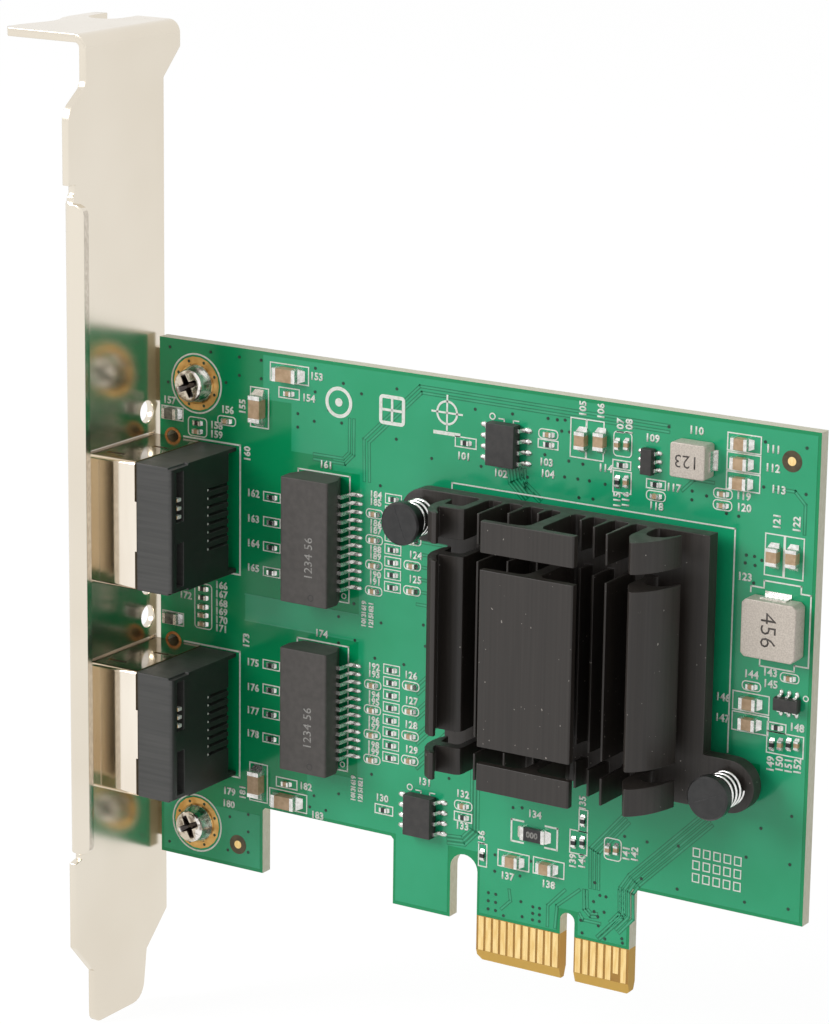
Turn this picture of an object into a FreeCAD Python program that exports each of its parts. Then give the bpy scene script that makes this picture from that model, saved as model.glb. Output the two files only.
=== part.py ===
import FreeCAD, Part
import math
import os

# Network interface card, millimetres, +Z up.
# X runs along the board away from the slot bracket, Y runs into the board
# (parts are on the -Y face), Z = 0 is the bottom edge of the edge contacts,
# and X = 0 is the middle of the key notch between them.

V = FreeCAD.Vector

# driving dimensions: board
BOARD_T = 1.6
FRONT = -BOARD_T / 2
BACK = BOARD_T / 2
BOARD_LEFT = -57.4
BOARD_RIGHT = 29.8
BOARD_TOP = 68.9
BOARD_BOTTOM = 12.9
LEG_RIGHT = -42.4
LEG_BOTTOM = 4.55
TAB_LEFT = -23.75
TAB_RIGHT = -15.85
TONGUE_LEFT = -12.15
TONGUE_RIGHT = 8.15
KEY_HALF = 0.95
KEY_TOP = 8.3
SLOT_TOP = 12.6
EDGE_BEVEL = 1.3
BEVEL_DEPTH = 0.45

# driving dimensions: edge contacts
CONTACT_PITCH = 1.0
CONTACT_W = 0.7
CONTACT_T = 0.05
CONTACT_TOP = 5.5
CONTACT_LOW = 1.35
CONTACT_SHORT = 2.3
LEFT_CONTACTS = 11
RIGHT_CONTACTS = 7
FIRST_LEFT_X = -11.5
FIRST_RIGHT_X = 1.5

# driving dimensions: bracket
SHEET = 1.0
BRACKET_GAP = 0.9
BRACKET_IN = BOARD_LEFT - BRACKET_GAP
BRACKET_OUT = BRACKET_IN - SHEET
LOW_NEAR = -17.2
LOW_FAR = 1.47
UP_NEAR = -13.6
UP_FAR = 4.82
FLANGE_TOP = 105.85
FLANGE_TIP = BRACKET_OUT - 11.4
BEND_R = 1.6
TIP_Z = -14.2
LIP_LOW = 8.7
LIP_HIGH = 86.9
LIP_END = -56.1
TAB_END = -48.9
LED_HOLE_R = 1.35
LED_HOLE_Y = -2.15
LED_OFFSET = 10.6
LED_X = -55.55

# driving dimensions: fixing screws
SCREW_X = -52.05
SCREW_Z = (9.1, 63.85)
SCREW_R = 1.25
SCREW_HOLE_R = 1.6
SCREW_CLEAR = 0.05
HEAD_R = 2.45
HEAD_H = 1.9
HEAD_FLAT = 0.7
SCREW_OUT = 1.0
RECESS_REACH = 1.4
RECESS_HALF = 0.3
RECESS_DEEP = 1.0
RECESS_TURN = 25
PAD_R = 3.25
PAD_T = 0.05

# driving dimensions: jacks
JACK_Z = (23.95, 49.25)
JACK_HALF = 7.75
CAN_T = 0.25
JACK_FACE = -60.3
CAN_REAR = -51.5
JACK_REAR = -46.3
JACK_FRONT_Y = -14.0
JACK_CLEAR = 0.2
PORT_HALF = 5.9
PORT_LOW_Y = -4.1
PORT_HIGH_Y = -12.3
PORT_DEPTH_X = -49.2
KEYWAY_HALF = 3.1
KEYWAY_Y = -2.4
FOOT_Y = -2.4
FOOT_DEEP = 1.3
SLOT_Y = -6.7
SHOULDER = 0.5
PEG_R = 1.2
PEG_X = -49.6
PEG_Z = 5.4
CAN_TAB_X = -55.5
CAN_TAB_W = 1.4
CAN_TAB_HOLE_R = 0.85
WIRE_PITCH = 1.02
WIRE_MOUTH = 1.7
# flat sides used for small round holes and pegs
SIDES = 12
ROUND_SIDES = 18

# driving dimensions: transformers
XFMR_X = -33.95
XFMR_Z = (27.4, 48.0)
XFMR_W = 6.8
XFMR_UNDERCUT = 0.9
XFMR_L = 15.0
XFMR_LOW = 0.2
XFMR_TOP = 4.2
XFMR_SPLIT = 2.1
XFMR_PINS = 12
XFMR_PITCH = 1.012

# driving dimensions: heatsink
SINK_X = 1.9
SINK_HALF = 16.7
SINK_BOTTOM = 25.6
SINK_TOP = 56.6
BASE_BACK = -2.4
BASE_FRONT = -4.3
FIN_PITCH = 2.69
FIN_MID = 0.95
FIN_T = 0.5
PLATE_FRONT = -13.2
PLATE_LEFT = -5.2
PLATE_RIGHT = 6.7
CUT_W = 1.95
CUT_LOW = 28.75
CUT_HIGH = 51.1
EAR_R = 3.05
EAR_X = (-18.0, 21.9)
PIN_HOLE_R = 1.5

# driving dimensions: push pins
PIN_R = 1.3
PIN_HEAD_R = 2.5
PIN_HEAD_T = 1.2
PIN_FACE = -9.5
PIN_OUT = 2.4
PIN_SPLIT = 0.3
PIN_EDGE = 0.2
BARB_STEP = 0.5
SPLIT_DEEP = 1.2
COIL_R = 1.95
COIL_WIRE = 0.2
COIL_TURNS = 4
COIL_STEPS = 12

CHIP_HALF = 8.5
CHIP_T = 1.2

PARTS = "parts"


def box(x0, x1, y0, y1, z0, z1):
    low = V(min(x0, x1), min(y0, y1), min(z0, z1))
    return Part.makeBox(abs(x1 - x0), abs(y1 - y0), abs(z1 - z0), low)


def face_of(points):
    return Part.Face(Part.makePolygon(points + [points[0]]))


def slab_xz(points, y0, y1):
    face = face_of([V(x, y0, z) for x, z in points])
    return face.extrude(V(0, y1 - y0, 0))


def slab_xy(points, z0, z1):
    face = face_of([V(x, y, z0) for x, y in points])
    return face.extrude(V(0, 0, z1 - z0))


def slab_yz(points, x0, x1):
    face = face_of([V(x0, y, z) for y, z in points])
    return face.extrude(V(x1 - x0, 0, 0))


def rod_y(x, z, r, y0, y1):
    return Part.makeCylinder(r, abs(y1 - y0), V(x, min(y0, y1), z), V(0, 1, 0))


def prism_y(x, z, r, sides, y0, y1):
    # rod with flat sides that stays inside radius r
    points = arc_points(x, z, r, 0, 360, sides)[:-1]
    return slab_xz(points, min(y0, y1), max(y0, y1))


def prism_x(y, z, r, sides, x0, x1):
    points = arc_points(y, z, r, 0, 360, sides)[:-1]
    return slab_yz(points, min(x0, x1), max(x0, x1))


def ring_y(x, z, r_out, r_in, sides, y0, y1):
    hole = prism_y(x, z, r_in, sides, y0 - 1, y1 + 1)
    return prism_y(x, z, r_out, sides, y0, y1).cut(hole)


def taper_y(r0, r1, sides, y0, y1):
    # flat-sided rod about the Y axis that narrows from r0 at y0 to r1 at y1
    wires = []
    for r, y in ((r0, y0), (r1, y1)):
        points = [V(x, y, z) for x, z in arc_points(0, 0, r, 0, 360, sides)[:-1]]
        wires.append(Part.makePolygon(points + [points[0]]))
    return Part.makeLoft(wires, True, True)


def arc_points(cx, cy, r, a0, a1, n):
    out = []
    for i in range(n + 1):
        a = math.radians(a0 + (a1 - a0) * i / n)
        out.append((cx + r * math.cos(a), cy + r * math.sin(a)))
    return out


def thick_line(points, t):
    # outline of a bent strip of thickness t whose left side follows the points
    left = []
    right = []
    n = len(points)
    for i in range(n):
        if i == 0:
            d0 = d1 = direction(points[0], points[1])
        elif i == n - 1:
            d0 = d1 = direction(points[n - 2], points[n - 1])
        else:
            d0 = direction(points[i - 1], points[i])
            d1 = direction(points[i], points[i + 1])
        nx = -(d0[1] + d1[1])
        ny = d0[0] + d1[0]
        size = math.hypot(nx, ny)
        nx = nx / size
        ny = ny / size
        half = t / max(0.4, -d0[1] * nx + d0[0] * ny)
        left.append(points[i])
        right.append((points[i][0] + nx * half, points[i][1] + ny * half))
    return left + right[::-1]


def direction(a, b):
    dx = b[0] - a[0]
    dy = b[1] - a[1]
    size = math.hypot(dx, dy)
    return (dx / size, dy / size)


def save(name, solids):
    shape = solids[0] if len(solids) == 1 else Part.Compound(solids)
    shape.exportStep(PARTS + "/" + name + ".step")


def make_board():
    bend = 0.35
    outline = [
        (BOARD_LEFT, BOARD_TOP),
        (BOARD_RIGHT, BOARD_TOP),
        (BOARD_RIGHT, BOARD_BOTTOM),
        (TONGUE_RIGHT, BOARD_BOTTOM),
        (TONGUE_RIGHT, 0.35),
        (TONGUE_RIGHT - 0.35, 0.0),
        (KEY_HALF, 0.0),
        (KEY_HALF, KEY_TOP - KEY_HALF),
    ]
    outline += arc_points(0.0, KEY_TOP - KEY_HALF, KEY_HALF, 22.5, 157.5, 6)
    mid = (TAB_RIGHT + TONGUE_LEFT) / 2
    slot_r = (TONGUE_LEFT - TAB_RIGHT) / 2
    outline += [
        (-KEY_HALF, KEY_TOP - KEY_HALF),
        (-KEY_HALF, 0.0),
        (TONGUE_LEFT + 0.6, 0.0),
        (TONGUE_LEFT, 0.6),
        (TONGUE_LEFT, SLOT_TOP - slot_r),
    ]
    outline += arc_points(mid, SLOT_TOP - slot_r, slot_r, 15.0, 165.0, 10)
    outline += [
        (TAB_RIGHT, SLOT_TOP - slot_r),
        (TAB_RIGHT, LEG_BOTTOM),
        (TAB_LEFT, LEG_BOTTOM),
        (TAB_LEFT, BOARD_BOTTOM - bend),
        (TAB_LEFT - bend, BOARD_BOTTOM),
        (LEG_RIGHT + bend, BOARD_BOTTOM),
        (LEG_RIGHT, BOARD_BOTTOM - bend),
        (LEG_RIGHT, LEG_BOTTOM),
        (BOARD_LEFT, LEG_BOTTOM),
    ]
    board = slab_xz(outline, FRONT, BACK)
    for side in (-1, 1):
        edge = side * BOARD_T / 2
        wedge = [
            (edge + side * 0.5, -0.5),
            (edge - side * BEVEL_DEPTH, -0.5),
            (edge - side * BEVEL_DEPTH, 0.0),
            (edge, EDGE_BEVEL),
            (edge + side * 0.5, EDGE_BEVEL),
        ]
        board = board.cut(slab_yz(wedge, TONGUE_LEFT - 1, TONGUE_RIGHT + 1))
    holes = []
    for z in SCREW_Z:
        holes.append(prism_y(SCREW_X, z, SCREW_HOLE_R, ROUND_SIDES, -2, 2))
    for x, z in pin_places():
        holes.append(prism_y(x, z, PIN_HOLE_R, ROUND_SIDES, -2, 2))
    for zc in JACK_Z:
        for side in (-1, 1):
            tab_z = zc + side * (JACK_HALF - CAN_T / 2)
            holes.append(prism_y(CAN_TAB_X, tab_z, CAN_TAB_HOLE_R, SIDES, -2, 2))
            holes.append(prism_y(PEG_X, zc + side * PEG_Z, PEG_R + 0.05, SIDES, -2, 2))
    return board.cut(Part.Compound(holes))


def pin_places():
    high = SINK_TOP - EAR_R
    low = SINK_BOTTOM + EAR_R
    return ((EAR_X[0], high), (EAR_X[1], low))


def led_places():
    # one status light above and one below each jack
    out = []
    for zc in JACK_Z:
        for side in (-1, 1):
            out.append((LED_X, zc + side * LED_OFFSET))
    return out


def make_contacts(y0, y1):
    solids = []
    for i in range(LEFT_CONTACTS):
        x = FIRST_LEFT_X + i * CONTACT_PITCH
        half = CONTACT_W / 2
        solids.append(box(x - half, x + half, y0, y1, CONTACT_LOW, CONTACT_TOP))
    for i in range(RIGHT_CONTACTS):
        x = FIRST_RIGHT_X + i * CONTACT_PITCH
        half = CONTACT_W / 2
        low = CONTACT_SHORT if i == RIGHT_CONTACTS - 2 else CONTACT_LOW
        solids.append(box(x - half, x + half, y0, y1, low, CONTACT_TOP))
    return solids


def make_bracket():
    # flat plate outline, seen along X
    plate = arc_points(-12.3, TIP_Z + 1.1, 1.1, 180, 270, 4)
    plate += arc_points(-5.6, TIP_Z + 2.3, 2.3, -90, -10, 5)
    plate += [
        (-2.75, -7.9),
        (LOW_FAR, -3.8),
        (LOW_FAR, 99.4),
        (UP_FAR, 102.7),
        (UP_FAR, FLANGE_TOP - BEND_R),
        (UP_NEAR, FLANGE_TOP - BEND_R),
        (UP_NEAR, 100.7),
        (UP_NEAR - 0.12, 100.2),
        (UP_NEAR - 0.4, 99.7),
        (LOW_NEAR + 1.1, 98.1),
        (LOW_NEAR + 0.6, 97.5),
        (LOW_NEAR + 0.35, 96.9),
        (LOW_NEAR + 0.25, 96.2),
        (LOW_NEAR + 0.25, 88.9),
        (LOW_NEAR + 1.35, 88.9),
        (LOW_NEAR + 1.35, 87.9),
        (LOW_NEAR + SHEET, LIP_HIGH + 0.6),
        (LOW_NEAR + SHEET, LIP_LOW - 0.2),
        (LOW_NEAR + 1.5, LIP_LOW - 0.6),
        (LOW_NEAR + 1.5, 7.5),
        (LOW_NEAR + 0.25, 7.2),
        (LOW_NEAR + 0.25, -3.5),
        (-13.4, -7.5),
    ]
    body = slab_yz(plate, BRACKET_OUT, BRACKET_IN)
    # stiffening lip, folded from the sheet along its -Y edge
    r = SHEET + 0.2
    lip = [(BRACKET_IN, LOW_NEAR + SHEET)]
    lip += [(LIP_END, LOW_NEAR + SHEET), (LIP_END, LOW_NEAR)]
    lip += arc_points(BRACKET_OUT + r, LOW_NEAR + r, r, 270, 180, 6)
    lip += [(BRACKET_OUT, LOW_NEAR + SHEET + 0.6), (BRACKET_IN, LOW_NEAR + SHEET + 0.6)]
    lip_solid = slab_xy(lip, LIP_LOW, LIP_HIGH)
    corner = 1.1
    for z, up in ((LIP_HIGH, 1), (LIP_LOW, -1)):
        trim = [
            (LIP_END + 0.5, z + up * 0.5),
            (LIP_END + 0.5, z - up * corner),
            (LIP_END, z - up * corner),
            (LIP_END - 0.32, z - up * 0.32),
            (LIP_END - corner, z),
            (LIP_END - corner, z + up * 0.5),
        ]
        lip_solid = lip_solid.cut(slab_xz(trim, LOW_NEAR - 1, LOW_NEAR + SHEET + 0.1))
    body = body.fuse(lip_solid)
    # top flange with its bend, folded away from the board
    under = FLANGE_TOP - SHEET
    bend = [(BRACKET_IN, FLANGE_TOP - BEND_R)]
    bend += arc_points(BRACKET_IN - BEND_R, FLANGE_TOP - BEND_R, BEND_R, 0, 90, 8)[1:]
    bend += [(FLANGE_TIP, FLANGE_TOP), (FLANGE_TIP, under)]
    inner = BEND_R - SHEET
    bend += arc_points(BRACKET_IN - BEND_R, FLANGE_TOP - BEND_R, inner, 90, 0, 4)
    flange = slab_xz(bend, UP_NEAR, UP_FAR)
    flange_cut = [
        (FLANGE_TIP - 1, UP_NEAR - 1),
        (FLANGE_TIP + 1.2, UP_NEAR - 1),
        (FLANGE_TIP + 1.2, UP_NEAR),
        (FLANGE_TIP + 0.4, UP_NEAR + 0.9),
        (FLANGE_TIP + 0.35, -10.5),
        (FLANGE_TIP + 1.1, -7.0),
        (FLANGE_TIP + 1.35, -5.4),
        (FLANGE_TIP + 1.1, -3.8),
        (FLANGE_TIP + 0.3, -2.2),
        (FLANGE_TIP, -0.6),
        (FLANGE_TIP, UP_FAR - 1.0),
        (FLANGE_TIP + 0.3, UP_FAR - 0.3),
        (FLANGE_TIP + 0.9, UP_FAR),
        (FLANGE_TIP + 0.9, UP_FAR + 1),
        (FLANGE_TIP - 1, UP_FAR + 1),
    ]
    flange = flange.cut(slab_xy(flange_cut, under - 1, FLANGE_TOP + 1))
    # open screw slot in the flange
    slot_r = 2.21
    slot_x = FLANGE_TIP + 1.75 + slot_r
    slot_y = 1.9
    slot = Part.makeCylinder(slot_r, 4, V(slot_x, slot_y, under - 1.5))
    slot = slot.fuse(box(slot_x - slot_r, slot_x + slot_r, slot_y, UP_FAR + 1,
                         under - 1.5, FLANGE_TOP + 1.5))
    flange = flange.cut(slot)
    body = body.fuse(flange)
    # two fixing tabs folded behind the board
    for z in SCREW_Z:
        tab_in = BACK
        tab_out = BACK + SHEET
        rr = SHEET + 0.5
        prof = [(BRACKET_OUT, -1.0), (BRACKET_IN, -1.0)]
        prof += arc_points(BRACKET_OUT + rr, tab_out - rr, 0.5, 180, 90, 4)
        prof += [(TAB_END, tab_in), (TAB_END, tab_out)]
        prof += arc_points(BRACKET_OUT + rr, tab_out - rr, rr, 90, 180, 6)
        tab = slab_xy(prof, z - 3.3, z + 3.3)
        for side in (-1, 1):
            trim = [
                (TAB_END + 1, z + side * 4),
                (TAB_END + 1, z + side * 1.2),
                (TAB_END, z + side * 1.2),
                (TAB_END - 0.9, z + side * 2.6),
                (TAB_END - 2.3, z + side * 3.3),
                (TAB_END - 2.3, z + side * 4),
            ]
            tab = tab.cut(slab_xz(trim, 0, 4))
        body = body.fuse(tab)
    cuts = []
    for z in SCREW_Z:
        cuts.append(prism_y(SCREW_X, z, SCREW_R + SCREW_CLEAR, SIDES, 0, 4))
    for zc in JACK_Z:
        half = JACK_HALF + JACK_CLEAR
        cuts.append(box(BRACKET_OUT - 1, BRACKET_IN + 1, JACK_FRONT_Y - JACK_CLEAR,
                        FRONT + JACK_CLEAR, zc - half, zc + half))
    for x, z in led_places():
        cuts.append(prism_x(LED_HOLE_Y, z, LED_HOLE_R, ROUND_SIDES, BRACKET_OUT - 1, BRACKET_IN + 1))
    return body.cut(Part.Compound(cuts)).removeSplitter()


def make_screw(z):
    # pan head turned about its own axis on a plain shank, then the cross recess is cut
    y0 = FRONT - PAD_T
    top = y0 - HEAD_H
    prof = [
        V(0, top, 0),
        V(HEAD_R * HEAD_FLAT, top, 0),
        V(HEAD_R, top + HEAD_H / 2, 0),
        V(HEAD_R, y0, 0),
        V(0, y0, 0),
    ]
    screw = face_of(prof).revolve(V(0, 0, 0), V(0, 1, 0), 360)
    screw = screw.fuse(prism_y(0, 0, SCREW_R, SIDES, y0, BACK + SHEET + SCREW_OUT))
    for turn in (RECESS_TURN, RECESS_TURN + 90):
        slot = box(-RECESS_REACH, RECESS_REACH, top - 1, top + RECESS_DEEP,
                   -RECESS_HALF, RECESS_HALF)
        slot.rotate(V(0, 0, 0), V(0, 1, 0), turn)
        screw = screw.cut(slot)
    screw.translate(V(SCREW_X, 0, z))
    return screw


def make_can(zc):
    # folded sheet can round the mouth of the jack
    r = 0.5
    half = JACK_HALF
    outer = box(JACK_FACE, CAN_REAR, JACK_FRONT_Y, FRONT, zc - half, zc + half)
    edges = []
    for edge in outer.Edges:
        box_e = edge.BoundBox
        if box_e.XLength > 5 and box_e.YMax < JACK_FRONT_Y + 0.1:
            edges.append(edge)
    outer = outer.makeFillet(r, edges)
    inner = box(JACK_FACE - 1, CAN_REAR + 1, JACK_FRONT_Y + CAN_T, FRONT - CAN_T,
                zc - half + CAN_T, zc + half - CAN_T)
    can = outer.cut(inner)
    # small latch tongue standing out of the rear edge of the front wall
    can = can.fuse(box(CAN_REAR, CAN_REAR + 0.25, JACK_FRONT_Y, JACK_FRONT_Y + CAN_T,
                       zc - 3.0, zc + 3.0))
    for side in (-1, 1):
        z0 = zc + side * half
        z1 = zc + side * (half - CAN_T)
        can = can.fuse(box(CAN_TAB_X - CAN_TAB_W / 2, CAN_TAB_X + CAN_TAB_W / 2,
                           FRONT - 0.5, BACK + 1.3, z0, z1))
        # pressed slots in the side walls
        can = can.cut(box(-57.2, -54.6, -11.9, -11.4, z0 + side, z1 - side))
        can = can.cut(box(-54.3, -52.3, -6.6, -6.1, z0 + side, z1 - side))
    return can.removeSplitter()


def make_housing(zc):
    # moulded jack body: rear block, liner inside the can, port and rear pockets
    half = JACK_HALF - 0.1
    rear = [
        (CAN_REAR, FRONT),
        (JACK_REAR, FRONT),
        (JACK_REAR, JACK_FRONT_Y + 0.55),
        (JACK_REAR - 0.16, JACK_FRONT_Y + 0.2),
        (JACK_REAR - 0.5, JACK_FRONT_Y + 0.05),
        (CAN_REAR + 0.25, JACK_FRONT_Y + 0.05),
        (CAN_REAR + 0.25, JACK_FRONT_Y + CAN_T),
        (CAN_REAR, JACK_FRONT_Y + CAN_T),
    ]
    body = slab_xy(rear, zc - half, zc + half)
    inset = JACK_HALF - CAN_T
    liner = box(JACK_FACE + 0.25, CAN_REAR, JACK_FRONT_Y + CAN_T, FRONT - CAN_T,
                zc - inset, zc + inset)
    body = body.fuse(liner)
    cuts = []
    cuts.append(box(JACK_FACE - 1, PORT_DEPTH_X, PORT_HIGH_Y, PORT_LOW_Y,
                    zc - PORT_HALF, zc + PORT_HALF))
    cuts.append(box(JACK_FACE - 1, PORT_DEPTH_X - 3, PORT_LOW_Y - 0.1, KEYWAY_Y,
                    zc - KEYWAY_HALF, zc + KEYWAY_HALF))
    # small shoulder on the upper and lower sides at the rear edge
    for side in (-1, 1):
        cuts.append(box(JACK_REAR - SHOULDER, JACK_REAR + 1, JACK_FRONT_Y + 3.4, JACK_FRONT_Y - 1,
                        zc + side * (half - 0.25), zc + side * (half + 1)))
    # the rear wall stops short of the board, where the contact tails come out
    cuts.append(box(JACK_REAR - FOOT_DEEP, JACK_REAR + 1, FOOT_Y, FRONT + 1,
                    zc - half + 0.5, zc + half - 0.5))
    # pockets in the rear face
    cuts.append(box(JACK_REAR - 1.4, JACK_REAR + 1, -12.9, -11.5, zc + 0.9, zc + 6.9))
    cuts.append(box(JACK_REAR - 1.4, JACK_REAR + 1, -12.9, -11.5, zc - 6.9, zc - 1.6))
    for i in range(8):
        z = zc + (i - 3.5) * WIRE_PITCH
        cuts.append(box(JACK_REAR - 0.8, JACK_REAR + 1, SLOT_Y, FOOT_Y, z - 0.2, z + 0.2))
    body = body.cut(Part.Compound(cuts))
    for side in (-1, 1):
        body = body.fuse(prism_y(PEG_X, zc + side * PEG_Z, PEG_R, SIDES, FRONT - 0.3, BACK + 0.9))
    return body.removeSplitter()


def make_jack_wires(zc):
    solids = []
    t = 0.3
    mouth = JACK_FACE + WIRE_MOUTH
    path = [
        (PORT_DEPTH_X, PORT_HIGH_Y),
        (mouth + 0.4, PORT_HIGH_Y),
        (mouth, PORT_HIGH_Y + 0.6),
        (mouth + 0.4, PORT_HIGH_Y + 1.0),
        (PORT_DEPTH_X - 2.4, PORT_HIGH_Y + 3.0),
    ]
    strip = thick_line(path, -t)
    for i in range(8):
        z = zc + (i - 3.5) * WIRE_PITCH
        solids.append(slab_xy(strip, z - 0.22, z + 0.22))
    # flat heads of the middle wires, seen in the rear pocket
    for i in (5, 6, 7):
        z = zc + (i - 3.5) * WIRE_PITCH
        solids.append(box(JACK_REAR - 1.4, JACK_REAR - 0.1, -12.75, -12.25, z - 0.2, z + 0.2))
    return solids


def make_xfmr(zc):
    # moulded body, undercut below the leads and with a small chamfer on the front
    half = XFMR_W / 2
    split = FRONT - XFMR_SPLIT
    low = FRONT - XFMR_LOW
    top = FRONT - XFMR_TOP
    prof = [
        (-half + XFMR_UNDERCUT, low),
        (half - XFMR_UNDERCUT, low),
        (half, split),
        (half - 0.12, top + 0.15),
        (half - 0.3, top),
        (-half + 0.3, top),
        (-half + 0.12, top + 0.15),
        (-half, split),
    ]
    prof = [(XFMR_X + x, y) for x, y in prof]
    body = slab_xy(prof, zc - XFMR_L / 2, zc + XFMR_L / 2)
    return body


def gull_lead(x_body, y_exit, x_toe, t, w, z, shoulder=0.22, heel=0.42):
    # one formed lead from the body side to its foot on the board
    side = 1 if x_toe > x_body else -1
    span = abs(x_toe - x_body)
    path = [
        (x_body, y_exit),
        (x_body + side * span * shoulder, y_exit),
        (x_body + side * span * heel, FRONT - t),
        (x_toe, FRONT - t),
    ]
    strip = thick_line(path, side * t)
    return slab_xy(strip, z - w / 2, z + w / 2)


def make_xfmr_leads(zc):
    solids = []
    for i in range(XFMR_PINS):
        z = zc + (i - (XFMR_PINS - 1) / 2) * XFMR_PITCH
        for side in (-1, 1):
            x_body = XFMR_X + side * XFMR_W / 2
            x_toe = x_body + side * 1.8
            solids.append(gull_lead(x_body, FRONT - XFMR_SPLIT - 0.1, x_toe, 0.2, 0.45, z,
                                    0.3, 0.4))
    return solids


def fin(x, tip, t):
    # plain fin with a wider root and a narrowed tip
    half = t / 2
    return [
        (x - half - 0.3, BASE_FRONT),
        (x - half, BASE_FRONT - 0.6),
        (x - half * 0.6, tip),
        (x + half * 0.6, tip),
        (x + half, BASE_FRONT - 0.6),
        (x + half + 0.3, BASE_FRONT),
    ]


def sink_profile():
    # the right half of the outline, from the middle of the plate to the base end
    m = FIN_MID
    pr = PLATE_RIGHT - m
    pts = [
        (m, PLATE_FRONT),
        (m + pr - 0.15, PLATE_FRONT),
        (m + pr, PLATE_FRONT + 0.15),
        (m + pr, PLATE_FRONT + 0.95),
        (m + 1.9, PLATE_FRONT + 1.0),
        (m + 1.1, PLATE_FRONT + 1.3),
        (m + 0.75, PLATE_FRONT + 2.0),
        (m + 0.7, BASE_FRONT - 0.7),
        (m + 1.0, BASE_FRONT - 0.15),
        (m + 1.4, BASE_FRONT),
    ]
    for i, tip in ((1, -6.4), (2, -8.2), (3, -10.1)):
        pts += fin(m + i * FIN_PITCH, tip, FIN_T)
    # outermost stem carrying the curved, tapering end plate
    s = m + 4 * FIN_PITCH
    pts += [
        (s - 0.95, BASE_FRONT),
        (s - 0.55, BASE_FRONT - 0.5),
        (s - 0.5, -8.6),
        (s - 0.35, -9.3),
        (s + 1.05, -11.75),
        (s + 1.35, -11.95),
    ]
    outer = [
        (s + 1.75, -11.75),
        (s + 2.35, -11.15),
        (s + 2.95, -10.3),
        (s + 3.45, -9.3),
        (s + 3.85, -8.2),
        (s + 4.15, -7.0),
        (s + 4.35, -5.9),
    ]
    inner = [
        (s + 4.05, -5.85),
        (s + 3.6, -6.9),
        (s + 3.0, -7.75),
        (s + 2.2, -8.2),
        (s + 1.4, -8.1),
        (s + 0.8, -7.6),
        (s + 0.55, -6.8),
    ]
    pts += outer + inner
    pts += [
        (s + 0.5, BASE_FRONT - 0.7),
        (s + 0.75, BASE_FRONT - 0.2),
        (s + 1.2, BASE_FRONT),
    ]
    return pts


def mirror_left():
    # the left side repeats the right one about the middle stem, with a slimmer
    # end plate carried on an arm
    m = FIN_MID
    pts = []
    s = m - 4 * FIN_PITCH
    pts += [
        (s - 1.0, BASE_FRONT),
        (s - 0.6, BASE_FRONT - 0.3),
        (s - 0.45, BASE_FRONT - 0.8),
        (s - 0.5, -8.15),
        (s - 0.7, -8.5),
        (s - 1.0, -8.6),
        (s - 2.75, -8.6),
        (s - 2.85, -7.6),
        (s - 3.1, -6.5),
        (s - 3.45, -6.6),
        (s - 3.75, -7.6),
        (s - 3.85, -8.8),
        (s - 3.75, -10.0),
        (s - 3.35, -11.2),
        (s - 2.7, -12.2),
        (s - 1.7, -13.0),
        (s - 1.2, -12.95),
        (s - 1.15, -12.5),
        (s - 1.85, -11.7),
        (s - 2.4, -10.8),
        (s - 2.55, -10.1),
        (s - 0.1, -10.0),
        (s + 0.45, -9.7),
        (s + 0.55, -9.1),
        (s + 0.5, BASE_FRONT - 0.8),
        (s + 0.65, BASE_FRONT - 0.3),
        (s + 1.0, BASE_FRONT),
    ]
    for i, tip in ((3, -10.4), (2, -8.4), (1, -6.5)):
        pts += fin(m - i * FIN_PITCH, tip, FIN_T)
    pl = m - PLATE_LEFT
    pts += [
        (m - 1.4, BASE_FRONT),
        (m - 1.0, BASE_FRONT - 0.15),
        (m - 0.7, BASE_FRONT - 0.7),
        (m - 0.75, PLATE_FRONT + 2.0),
        (m - 1.1, PLATE_FRONT + 1.3),
        (m - 1.9, PLATE_FRONT + 1.0),
        (m - pl, PLATE_FRONT + 0.95),
        (m - pl, PLATE_FRONT + 0.15),
        (m - pl + 0.15, PLATE_FRONT),
    ]
    return pts


def make_sink():
    left = SINK_X - SINK_HALF
    right = SINK_X + SINK_HALF
    outline = [(left, BASE_BACK), (left, BASE_FRONT)]
    outline += mirror_left()
    outline += sink_profile()
    outline += [(right, BASE_FRONT), (right, BASE_BACK)]
    sink = slab_xy(outline, SINK_BOTTOM, SINK_TOP)
    # two saw cuts across the fins, down to the base
    for z in (CUT_LOW, CUT_HIGH):
        sink = sink.cut(box(left - 4, right + 4, PLATE_FRONT - 1, BASE_FRONT, z, z + CUT_W))
    # rounded ears for the push pins
    for n, (x, z) in enumerate(pin_places()):
        ear = rod_y(x, z, EAR_R, BASE_FRONT, BASE_BACK)
        inner_x = left if n == 0 else right
        ear = ear.fuse(box(x, inner_x, BASE_FRONT, BASE_BACK, z - EAR_R, z + EAR_R))
        sink = sink.fuse(ear)
        sink = sink.cut(prism_y(x, z, PIN_HOLE_R, ROUND_SIDES, BASE_FRONT - 1, BASE_BACK + 1))
    return sink.removeSplitter()


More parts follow.
